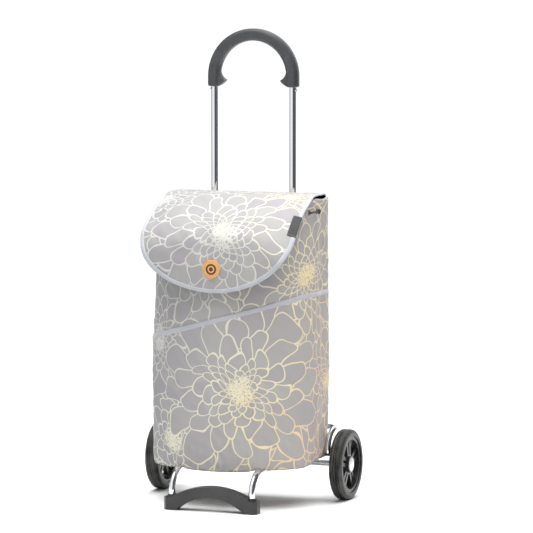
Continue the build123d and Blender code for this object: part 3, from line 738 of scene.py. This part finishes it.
def floor_height(x, y):
    """The bag's floor: it lies on the foot tubes, droops between them and in front, and rises at the sides."""
    out = np.hypot(x / FLOOR_HALF, (y + 0.02) / 0.105)
    forward = smoothstep(-y, 0.005, 0.065) * smoothstep(out, 0.55, 0.95)
    between = 1 - 0.42 * hump(np.abs(x), FOOT_TUBE_X, 0.013)
    side = smoothstep(np.abs(x), 0.150, 0.175) * smoothstep(y, -0.07, 0.05)
    sag = FLOOR_SAG * (1 - 0.35 * x / FLOOR_HALF) + FLOOR_MIDDLE_SAG * hump(x, 0.01, 0.10)
    return BAG_FLOOR - sag * forward * between + FLOOR_SIDE_RISE * side


WALL_ROWS = 120
BAG_COLUMNS = 264
FLOOR_RINGS = (0.04, 0.15, 0.3, 0.45, 0.6, 0.72, 0.82, 0.90, 0.94)
FLOOR_CLOTH = 0.12
HEM_TOP, HEM_SEAM, HEM_BOTTOM = 0.0105, 0.0115, 0.0120
HEM_STAND, SEAM_DEPTH, SEAM_WIDTH = 0.0006, 0.0008, 0.0012
RIM_ROLL = 0.0010
BAG_CLOTH = 0.0016


def bag_grid():
    """Points and cloth places of the bag, from its floor's middle out and up its walls to the rim."""
    s_uv = np.linspace(-HALF_GIRTH, HALF_GIRTH, BAG_COLUMNS + 1)
    s = s_uv[:-1]
    x, y = plan(s)[:2]
    middle_y = (BAG_FRONT + BAG_BACK) / 2
    rows, cloth = [], []
    for reach in FLOOR_RINGS:
        px, py = x * reach, middle_y + (y - middle_y) * reach
        rows.append(joined(px, py, floor_height(px, py)))
        cloth.append(-(1 - reach) * FLOOR_CLOTH)
    for turn in np.linspace(0.15, 1, 6) * math.pi / 2:
        inset, rise = BASE_ROUND * (1 - math.sin(turn)), BASE_ROUND * (1 - math.cos(turn))
        wall = bag_point(s, BAG_FLOOR + rise + 0 * s, -inset)
        wall[:, 2] = floor_height(wall[:, 0], wall[:, 1]) + rise
        rows.append(wall)
        cloth.append(rise - BASE_ROUND * 0.6)
    rim = rim_height(x, y)
    base = floor_height(*bag_point(s, BAG_FLOOR + BASE_ROUND + 0 * s)[:, :2].T) + BASE_ROUND
    for share in np.linspace(0, 1, WALL_ROWS)[1:]:
        z = base + (rim - base) * share
        below_rim = rim - z
        hem = HEM_STAND * smoothstep(below_rim, HEM_BOTTOM, HEM_TOP)
        seam = SEAM_DEPTH * hump(below_rim, HEM_SEAM, SEAM_WIDTH)
        roll = -RIM_ROLL * smoothstep(below_rim, 0.003, 0.0)
        rows.append(bag_point(s, z, hem - seam + roll))
        cloth.append(z - BAG_FLOOR)
    cloth = [np.append(v + 0 * s, (v + 0 * s)[0]) for v in cloth]
    return np.stack(rows), joined(s_uv[None, :], np.stack(cloth))


def swept(name, section, place, along, across, material, flip=False):
    """A band with one section: place gives its line at a section point; along and across are cloth places."""
    points = np.stack([place(*point) for point in section], 1)
    return band_piece(name, points, material, joined(along[:, None], across[None, :]), flip)


def make_bag(fabric, lining):
    """The bag: floor, walls and rolled rim in one sewn shell, with a black lining."""
    points, uv = bag_grid()
    rows, columns = points.shape[:2]
    quads, corner_rows, corner_columns = grid_quads(rows, columns, closed=True)
    corner_uv = uv[corner_rows, corner_columns].reshape(-1, 2).tolist()
    faces = quads.tolist()
    centre = len(points.reshape(-1, 3))
    middle = points[0].mean(0)
    for j in range(columns):
        faces.append([centre, (j + 1) % columns, j])
        corner_uv += [[0, -FLOOR_CLOTH], uv[0, j + 1].tolist(), uv[0, j].tolist()]
    everything = np.vstack([points.reshape(-1, 3), middle])
    piece = mesh_object("bag_body", everything, faces, [fabric, lining], corner_uv)
    thicken(piece, BAG_CLOTH, inner=1)
    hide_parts("bag_shell")
    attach(piece, "frame")


# ---------------------------------------------------------------- pocket

POCKET_MIDDLE = 0.398
POCKET_SLOPE = 0.28
POCKET_TAPE = 0.011
POCKET_END = PLAN_ENDS[2] - 0.002
POCKET_CLOTH = 0.0011


def pocket_mouth(s):
    """Height of the pocket's slanting mouth."""
    return POCKET_MIDDLE + POCKET_SLOPE * plan(s)[0]


def make_pocket(fabric):
    """The pocket panel lying on the bag below the tape."""
    s = np.linspace(-POCKET_END, POCKET_END, 200)[None, :]
    share = np.linspace(0, 1, 90)[:, None]
    low = floor_height(*plan(s)[:2]) + 0.6 * BASE_ROUND
    z = low + (pocket_mouth(s) - 0.002 - low) * share
    lift = 0.0004 + 0.0009 * smoothstep(share, 0.0, 0.06)
    points = bag_point(s + 0 * z, z, lift + 0.0004 * smoothstep(share, 0.9, 1.0))
    # its cloth places are the bag's, so the print runs on across the seam
    piece = grid_piece("pocket_panel", points, joined(s, z - BAG_FLOOR), [fabric])
    thicken(piece, POCKET_CLOTH)
    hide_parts("front_pocket")
    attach(piece, "frame")


def make_pocket_tape(tape):
    """The woven tape over the pocket's mouth: a soft flat tube with rounded edges, following the slant."""
    s = np.linspace(-POCKET_END, POCKET_END, 260)
    half = POCKET_TAPE / 2
    section = [
        (-half, 0.0006), (-half - 0.0002, 0.0012), (-half + 0.0010, 0.0021), (-half * 0.4, 0.0024),
        (half * 0.4, 0.0024), (half - 0.0010, 0.0021), (half + 0.0002, 0.0012), (half, 0.0002), (0, 0.0002),
    ]
    wobble = 0.0004 * folds(s, 0 * s, (0.03, 0.12), 21)
    across = np.array([rise for rise, _ in section + section[:1]])

    def place(rise, out):
        return bag_point(s, pocket_mouth(s) + rise + wobble, out)

    piece = swept("pocket_tape", section, place, s, across, tape, flip=True)
    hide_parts("pocket_binding")
    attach(piece, "frame")


# ---------------------------------------------------------------- flap

LONG_RIPPLE, SHORT_RIPPLE = 0.0011, 0.0004
DENT = 0.0030
EDGE_POWER = 2.6


def flap_base(x, s):
    """A point on the flap's underside from its flat pattern: x across, s along from the hinge line."""
    x, s = np.broadcast_arrays(np.asarray(x, float), np.asarray(s, float))
    lines = []
    for even, y, z in (FLAP_CENTRE, FLAP_RIGHT, FLAP_LEFT):
        lines.append((np.interp(s, even, y), np.interp(s, even, z) - np.maximum(s - even[-1], 0)))
    centre, right, left = lines
    weight = np.clip(np.abs(x) / FLAP_W, 0, 1.03) ** EDGE_POWER
    y, z = (centre[k] * (1 - weight) + np.where(x > 0, right[k], left[k]) * weight for k in (0, 1))
    away = smoothstep(s, 0.03, 0.14)
    ripple = LONG_RIPPLE * folds(x, s, (0.07, 0.22), 31) * away
    ripple = ripple + SHORT_RIPPLE * folds(x, s, (0.025, 0.05), 34) * away
    # a soft dent where the cloth turns down behind each front corner
    dent = -DENT * np.exp(-(((np.abs(x) - 0.120) / 0.03) ** 2) - ((s - 0.125) / 0.03) ** 2)
    return x, y, z, ripple + dent * away


def flap_point(x, s, offset):
    """A point of the flap at a height above its underside."""
    step = 0.0015
    here, beside, beyond = flap_base(x, s), flap_base(x + step, s), flap_base(x, s + step)
    place, lift = np.stack(here[:3], -1), here[3]
    normal = np.cross(np.stack(beyond[:3], -1) - place, np.stack(beside[:3], -1) - place)
    normal *= np.where(normal[..., 2:3] - normal[..., 1:2] < 0, -1, 1)
    normal /= np.maximum(np.linalg.norm(normal, axis=-1, keepdims=True), 1e-9)
    return place + normal * (lift + offset)[..., None]


def flap_end(x):
    """How far the flap's flat pattern runs at a place across it."""
    return SIDE_LENGTH + TONGUE * np.sqrt(np.clip(1 - (x / FLAP_W) ** 2, 0, 1))


# the seam on the bag's back, from its low end up to the hinge: (distance from the hinge, y, z)
SEAM = 0.015
SEAM_LINE = [(-SEAM, 0.0858, 0.6400), (-0.0075, 0.0856, 0.6475), (-0.0040, 0.0838, 0.6498)]
SEAM_LIFT = 0.0012
FLAP_CLOTH = 0.0026


def make_flap(fabric, lining):
    """The flap's padded sheet, from its seam on the bag's back to its half-round end."""
    phi = np.linspace(-0.5, 0.5, 150) * math.pi
    x = (FLAP_W - 0.001) * np.sin(phi)[None, :]
    share = np.linspace(0, 1, 120)[:, None]
    s = 0.001 + (flap_end(x) - 0.002) * share
    sheet = flap_point(x, s, FLAP_SKIN)
    seam_s, seam_y, seam_z = (np.array(column)[:, None] for column in zip(*SEAM_LINE))
    points = np.concatenate([joined(x, seam_y, seam_z + SEAM_LIFT), sheet])
    uv = joined(x, np.concatenate([seam_s + 0 * x, s]))
    piece = grid_piece("flap_sheet", points, uv, [fabric, lining], flip=True)
    thicken(piece, FLAP_CLOTH, inner=1)
    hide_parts("flap_panel")
    return piece


def flap_outline():
    """The flap's edge on its flat pattern, from the hinge on the right round to the hinge on the left.

    Gives places (x, s), inward directions and the distance along.
    """
    side = np.linspace(0.003, SIDE_LENGTH, 70)[:-1]
    phi = np.linspace(0, math.pi, 190)
    x = np.concatenate([0 * side + FLAP_W, FLAP_W * np.cos(phi), 0 * side - FLAP_W])
    s = np.concatenate([side, SIDE_LENGTH + TONGUE * np.sin(phi), side[::-1]])
    inward = joined(-np.cos(phi) / FLAP_W, -np.sin(phi) / TONGUE)
    inward /= np.linalg.norm(inward, axis=1, keepdims=True)
    straight = joined(0 * side - 1, 0 * side)
    places = joined(x, s)
    return places, np.concatenate([straight, inward, -straight]), run_length(places)


def make_flap_tape(tape):
    """The tape folded round the flap's edge."""
    places, inward, along = flap_outline()
    section = [
        (0.0080, 0.0026), (0.0078, 0.0036), (0.0060, 0.0040), (0.0020, 0.0040), (0.0004, 0.0034),
        (-0.0007, 0.0024), (-0.0010, 0.0014), (-0.0007, 0.0004), (0.0004, -0.0004), (0.0020, -0.0008),
        (0.0060, -0.0008), (0.0078, -0.0004), (0.0080, 0.0008),
    ]

    def place(depth, height):
        return flap_point(*(places + inward * depth).T, height)

    piece = swept("flap_tape", section, place, along, run_length(section + section[:1]), tape)
    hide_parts("flap_binding")
    return piece


def flap_frame(x, s, height):
    """A place on the flap with its own axes: across, towards the hinge, and out."""
    step = 0.004
    centre, right, back = (flap_point(x + dx, s - ds, height) for dx, ds in ((0, 0), (step, 0), (0, step)))
    across = Vector(right - centre).normalized()
    out = across.cross(Vector(back - centre)).normalized()
    return Vector(centre), across, out.cross(across), out


def turned_disc(name, place, profile, material, segments=72):
    """A disc turned from (radius, height) pairs, standing out from a place on the flap."""
    centre, across, up, out = place
    angles = np.linspace(0, 2 * math.pi, segments, endpoint=False)
    ring = np.cos(angles)[:, None] * np.array(across) + np.sin(angles)[:, None] * np.array(up)
    rows = [np.array(centre) + ring * radius + np.array(out) * height for radius, height in profile]
    radii = np.array([radius for radius, _ in profile])[:, None]
    around = np.linspace(0, 1, segments + 1)[None, :] * 2 * math.pi
    return band_piece(name, np.stack(rows), material, joined(radii * np.cos(around), radii * np.sin(around)))


BADGE_R = 0.0195
BADGE_Z = 0.508
MARK_FOOT = 0.0022


def make_badge(wood, burnt):
    """The round wooden badge with a plain ring and dot burnt into it."""
    even, _, z = FLAP_CENTRE
    s = float(np.interp(-BADGE_Z, -z, even))
    place = flap_frame(0.0, s, FLAP_SKIN + 0.0002)
    disc = [
        (BADGE_R - 0.0006, -0.0006), (BADGE_R, 0.0002), (BADGE_R, 0.0016), (BADGE_R - 0.0003, 0.0021),
        (BADGE_R - 0.0010, 0.0025), (BADGE_R - 0.0016, 0.0025), (BADGE_R - 0.0020, 0.0022),
        (BADGE_R - 0.0024, 0.0022), (BADGE_R - 0.0028, 0.0025), (0.006, 0.0026),
    ]
    badge = turned_disc("badge", place, disc, wood)
    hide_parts("flap_badge")
    ring = [(0.0074, MARK_FOOT), (0.0077, 0.00275), (0.0113, 0.00275), (0.0116, MARK_FOOT)]
    dot = [(0.0046, MARK_FOOT), (0.0043, 0.00278), (0.0010, 0.00285)]
    for name, profile in (("badge_ring", ring), ("badge_dot", dot)):
        mark = turned_disc(name, place, profile, burnt, 48)
        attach(mark, "flap")
    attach(badge, "flap")


LABEL_LENGTH, LABEL_WIDTH = 0.057, 0.018
LABEL_Y = -0.088
LABEL_OVERHANG = 0.0006
LABEL_HEIGHT = 0.0050
LABEL_CLOTH = 0.0009


def make_label(cloth):
    """The plain woven label sewn over the tape on the flap's right edge."""
    even, y, _ = FLAP_RIGHT
    middle = float(np.interp(-LABEL_Y, -y, even))
    across = np.linspace(-0.5, 0.5, 15)[None, :]
    along = np.linspace(-0.5, 0.5, 33)[:, None]
    x = FLAP_W - LABEL_WIDTH / 2 + LABEL_OVERHANG + LABEL_WIDTH * across
    s = middle + LABEL_LENGTH * along
    edge = np.maximum(smoothstep(np.abs(across), 0.40, 0.5), smoothstep(np.abs(along), 0.46, 0.5))
    height = LABEL_HEIGHT - 0.0004 * edge + 0.0003 * np.sin(9 * along) * np.cos(3 * across)
    uv = joined(LABEL_WIDTH * across, LABEL_LENGTH * along)
    piece = grid_piece("woven_label", flap_point(x + 0 * s, s + 0 * x, height), uv, [cloth], flip=True)
    thicken(piece, LABEL_CLOTH)
    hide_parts("flap_label")
    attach(piece, "flap")


# ---------------------------------------------------------------- loops and cord

WEB = 0.0008
WEB_TAIL = 0.2


def make_loops(webbing):
    """The four webbing loops that go from the bag's back round the uprights."""
    straight = np.linspace(0, 1, 6)[:-1]
    turn = np.linspace(0, math.pi, 28)
    nx = np.concatenate([0 * straight - 1, -np.cos(turn), 0 * straight + 1])
    ny = np.concatenate([0 * straight, np.sin(turn), 0 * straight])
    for node in (f"{row}_loop_{side}" for row in ("upper", "lower") for side in ("left", "right")):
        low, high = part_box(node)
        middle_x, middle_z = (low.x + high.x) / 2, (low.z + high.z) / 2
        radius, half = (high.x - low.x) / 2 - WEB, (high.z - low.z) / 2
        x = np.concatenate([0 * straight - radius, -radius * np.cos(turn), 0 * straight + radius])
        run = low.y - AXLE_Y
        y = np.concatenate([run * (1 - straight), radius * np.sin(turn), run * (straight + WEB_TAIL)])
        soft = half - 0.0004
        section = [
            (-WEB, -soft), (-0.0004, -half), (0.0004, -half), (WEB, -soft), (0.0007, 0.0),
            (WEB, soft), (0.0004, half), (-0.0004, half), (-WEB, soft),
        ]

        def place(out, rise):
            return joined(middle_x + x + nx * out, AXLE_Y + y + ny * out, middle_z + rise)

        across = np.array([rise for _, rise in section + section[:1]])
        name = node.replace("loop", "webbing")
        piece = swept(name, section, place, run_length(joined(x, y)), across, webbing)
        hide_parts(node)
        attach(piece, "frame")


CORD_R = 0.002
CORD_STAND = 0.0046
CORD_Z = 0.622
CORD_WALL = BAG_HALF + 0.0001
CORD_BACK, CORD_FRONT = AXLE_Y - 0.094, AXLE_Y - 0.142
KNOT_REACH = 0.0014
KNOT_R = 0.0016
KNOT_STAND = 0.0006
KNOT_STEPS = 60
KNOT_SIDES = 14


def make_knot(out, braid):
    """The overhand knot at the cord's back end."""
    line = [
        Vector((
            out + KNOT_STAND + KNOT_REACH * math.sin(3 * t),
            CORD_BACK + KNOT_REACH * (math.sin(t) + 2 * math.sin(2 * t)),
            CORD_Z + KNOT_REACH * (math.cos(t) - 2 * math.cos(2 * t)),
        ))
        for t in np.linspace(0, 2 * math.pi, KNOT_STEPS, endpoint=False)
    ]
    rings, normal = [], Vector((0.0, 0.0, 1.0))
    for before, here, after in zip(line[-1:] + line, line, line[1:] + line[:1]):
        tangent = (after - before).normalized()
        normal = (normal - tangent * normal.dot(tangent)).normalized()
        second = tangent.cross(normal)
        turns = np.linspace(0, 2 * math.pi, KNOT_SIDES, endpoint=False)
        rings.append([tuple(here + (normal * math.cos(a) + second * math.sin(a)) * KNOT_R) for a in turns])
    points = np.array(rings + rings[:1])
    along = np.arange(len(points))[:, None] * (line[1] - line[0]).length
    uv = joined(along, np.linspace(0, 2 * math.pi * KNOT_R, KNOT_SIDES + 1)[None, :])
    return band_piece("cord_knot", points, braid, uv)


def make_cord(braid):
    """The taut cord on the bag's right side, in at one eyelet and out at the other, with a knot at the back."""
    out = CORD_WALL + CORD_STAND
    route = [
        (CORD_WALL, CORD_BACK, CORD_Z), (out, CORD_BACK, CORD_Z), (out, CORD_BACK - CORD_STAND, CORD_Z),
        (out, CORD_FRONT + CORD_STAND, CORD_Z), (out, CORD_FRONT, CORD_Z), (CORD_WALL, CORD_FRONT, CORD_Z),
    ]
    curve = bpy.data.curves.new("side_cord_line", "CURVE")
    curve.dimensions = "3D"
    curve.bevel_depth = CORD_R
    curve.bevel_resolution = 5
    curve.resolution_u = 24
    curve.use_fill_caps = True
    spline = curve.splines.new("NURBS")
    spline.points.add(len(route) - 1)
    for point, place in zip(spline.points, route):
        point.co = (*place, 1)
    spline.order_u = 3
    spline.use_endpoint_u = True
    curve.materials.append(braid)
    cord = linked("bag_cord", curve)
    knot = make_knot(out, braid)
    for piece in (cord, knot):
        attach(piece, "frame")
    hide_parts("side_cord")
    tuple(route[0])


# ---------------------------------------------------------------- studio

FLOOR_RADIUS = 2.0
FLOOR_DROP = 0.0004
BACKDROP = 1.05
OVERHEAD = (0.62, 0.98)
MIRRORED_OVERHEAD = 1.6
SKY_SIDE = 0.15
SKY_FRONT = 0.95
SKY_TOP = 7.4
KEY_BEARING = math.radians(14)
# dark screens in degrees: bearing to the right of the camera, half width, soft edge
SCREENS = ((62.0, 66.0, 9.0), (-138.0, 30.0, 10.0))
SCREEN_DARK = 0.90


def make_floor():
    """A round pale floor."""
    material, nodes, shader = new_material("floor", {"Roughness": 0.9, "Specular IOR Level": 0.1})
    colour = two_tone(nodes, noise_at(nodes, 3, 3), (0.61, 0.61, 0.61), (0.65, 0.65, 0.65))
    nodes.feed(shader.inputs["Base Color"], colour)
    angles = np.linspace(0, 2 * math.pi, 96, endpoint=False)
    rim = [(FLOOR_RADIUS * math.cos(a), FLOOR_RADIUS * math.sin(a), 0.0) for a in angles]
    floor = mesh_object("floor", rim, [tuple(range(len(rim)))], [material], [c[:2] for c in rim])
    floor.location.z = -FLOOR_DROP


def make_world():
    """Soft light from overhead and in front, a white backdrop, and two dark screens that only mirrors see."""
    world = bpy.data.worlds.new("studio")
    world.use_nodes = True
    bpy.context.scene.world = world
    nodes = Nodes(world.node_tree)
    maths = nodes.maths
    x, y, z = nodes.split(nodes.add("ShaderNodeTexCoord").outputs["Generated"])
    overhead = nodes.step(z, *OVERHEAD)
    turned = maths("ARCTAN2", x, y * -1.0) - CAMERA_AZIMUTH
    facing = maths("MAXIMUM", maths("COSINE", turned - KEY_BEARING), 0.0)
    soft = nodes.blend(overhead, facing * facing * SKY_FRONT + SKY_SIDE, SKY_TOP)
    bright = overhead * MIRRORED_OVERHEAD + 1.0
    for middle, half, soft_edge in SCREENS:
        away = abs(turned - math.radians(middle))
        screen = nodes.step(away, math.radians(half + soft_edge), math.radians(half))
        bright = bright * (screen * -SCREEN_DARK + 1.0)
    path = nodes.add("ShaderNodeLightPath")
    strength = nodes.blend(path.outputs["Is Glossy Ray"], soft, bright)
    strength = nodes.blend(path.outputs["Is Camera Ray"], strength, BACKDROP)
    background = world.node_tree.nodes["Background"]
    background.inputs["Color"].default_value = (1.0, 1.0, 1.0, 1)
    nodes.feed(background.inputs["Strength"], strength)


# ---------------------------------------------------------------- finishes of the CAD nodes

def wood():
    material, nodes, shader = new_material("badge_wood")
    stretched = nodes.add("ShaderNodeMapping", {"Vector": uv_of(nodes), "Scale": (900.0, 90.0, 1.0)})
    grain = noise_at(nodes, 1.0, 5, stretched.outputs["Vector"], 0.65)
    tones = [(0.25, (0.42, 0.18, 0.045)), (0.55, (0.60, 0.30, 0.10)), (0.8, (0.68, 0.38, 0.15))]
    colour = nodes.ramp(grain, tones)
    dress(nodes, shader, colour, (grain, 0.2, 0.38), (grain, 0.25, 0.0003))
    return material


def burnt():
    material, nodes, shader = new_material("burnt_wood")
    grain = noise_at(nodes, 900, 4)
    colour = two_tone(nodes, grain, (0.020, 0.012, 0.007), (0.065, 0.038, 0.02))
    dress(nodes, shader, colour, (grain, 0.3, 0.45), (grain, 0.3, 0.0003))
    return material


def board():
    material, nodes, shader = new_material("pressed_board")
    grain = noise_at(nodes, 260, 6, roughness=0.7)
    colour = two_tone(nodes, grain, (0.030, 0.030, 0.032), (0.075, 0.073, 0.070))
    dress(nodes, shader, colour, (grain, 0.2, 0.6), (grain, 0.3, 0.0005))
    return material


def cord_braid():
    material, nodes, shader = new_material("braided_cord")
    inputs = {"Vector": nodes.object_place(), "Scale": 260.0, "Distortion": 1.2}
    wave = nodes.add("ShaderNodeTexWave", inputs, bands_direction="DIAGONAL").outputs["Fac"]
    colour = two_tone(nodes, wave, (0.008, 0.008, 0.009), (0.035, 0.035, 0.037), 0.2, 0.8)
    dress(nodes, shader, colour, (wave, 0.2, 0.5), (wave, 0.5, 0.0006))
    return material


def finish_cad_nodes():
    """Gives every CAD node that stays its detailed finish."""
    grip = moulded_plastic("grip_plastic", (0.034, 0.035, 0.038), (0.052, 0.054, 0.058), 0.34, 1500, 0.25)
    black = moulded_plastic("black_plastic", (0.016, 0.016, 0.017), (0.030, 0.030, 0.032), 0.45, 900, 0.3)
    rim = moulded_plastic("rim_plastic", (0.010, 0.010, 0.011), (0.020, 0.020, 0.021), 0.28, 700, 0.15)
    nylon = moulded_plastic("nylon", (0.50, 0.50, 0.47), (0.62, 0.61, 0.58), 0.4, 500, 0.15)
    foot = moulded_plastic("foot_plastic", (0.014, 0.014, 0.015), (0.028, 0.028, 0.029), 0.38, 600, 0.35)
    eyelet = moulded_plastic("black_eyelet", (0.02, 0.02, 0.02), (0.05, 0.05, 0.05), 0.3, 400, 0.1)
    bright, steel = chrome(), plated_steel()
    finishes = {
        "upright": bright, "foot_tube": bright, "axle_tube": bright, "bag_guard_bow": bright,
        "grip_inner": grip, "grip_outer": grip, "grip_screws": steel, "grip_spigots": nylon,
        "axle_rod": steel, "axle_spacer": black, "axle_lock": steel, "guard_cap": black,
        "foot_arch": foot, "cord_eyelets": eyelet,
        "foot_screws": steel, "hanger_screws": steel, "loop_studs": steel, "base_board": board(),
        "wheel_tyre": tyre_rubber(), "wheel_rim": rim, "wheel_bushes": nylon, "hub_cap": silver_cap(),
    }
    for name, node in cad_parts.items():
        for prefix, material in finishes.items():
            if name.startswith(prefix):
                node.data.materials.clear()
                node.data.materials.append(material)


# ---------------------------------------------------------------- build


def main():
    make_camera()
    make_world()
    make_floor()
    finish_cad_nodes()
    bloom = bloom_group()
    fabric = petal_fabric("bag_fabric", BAG_BLOOMS, bloom, BAG_REPEAT, BAG_WARMTH)
    flap_fabric = petal_fabric("flap_fabric", FLAP_BLOOMS, bloom, FLAP_REPEAT, FLAP_WARMTH)
    lining = tape_material("black_lining", (0.010, 0.010, 0.011), (0.020, 0.020, 0.021), pitch=0.0008)
    tape = tape_material(
        "edge_tape", (0.27, 0.28, 0.305), (0.33, 0.34, 0.365), stitch=(0.0026, 0.0040, (0.40, 0.41, 0.43, 1)),
    )
    pocket_tape = tape_material(
        "pocket_edge_tape", (0.255, 0.26, 0.285), (0.305, 0.31, 0.335),
        stitch=(-0.0035, 0.0040, (0.36, 0.365, 0.39, 1)),
    )
    webbing = tape_material("black_webbing", (0.012, 0.012, 0.013), (0.028, 0.028, 0.030), pitch=0.0016)
    label_cloth = tape_material(
        "label_cloth", (0.012, 0.012, 0.014), (0.022, 0.022, 0.025), pitch=0.0007,
        stitch=(0.0262, 0.0022, (0.20, 0.20, 0.21, 1)),
    )
    make_bag(fabric, lining)
    make_pocket(fabric)
    make_pocket_tape(pocket_tape)
    sheet = make_flap(flap_fabric, lining)
    edge = make_flap_tape(tape)
    for piece in (sheet, edge):
        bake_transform(piece)
    make_badge(wood(), burnt())
    make_label(label_cloth)
    make_loops(webbing)
    make_cord(cord_braid())
    bpy.context.scene.view_settings.view_transform = "Standard"


main()
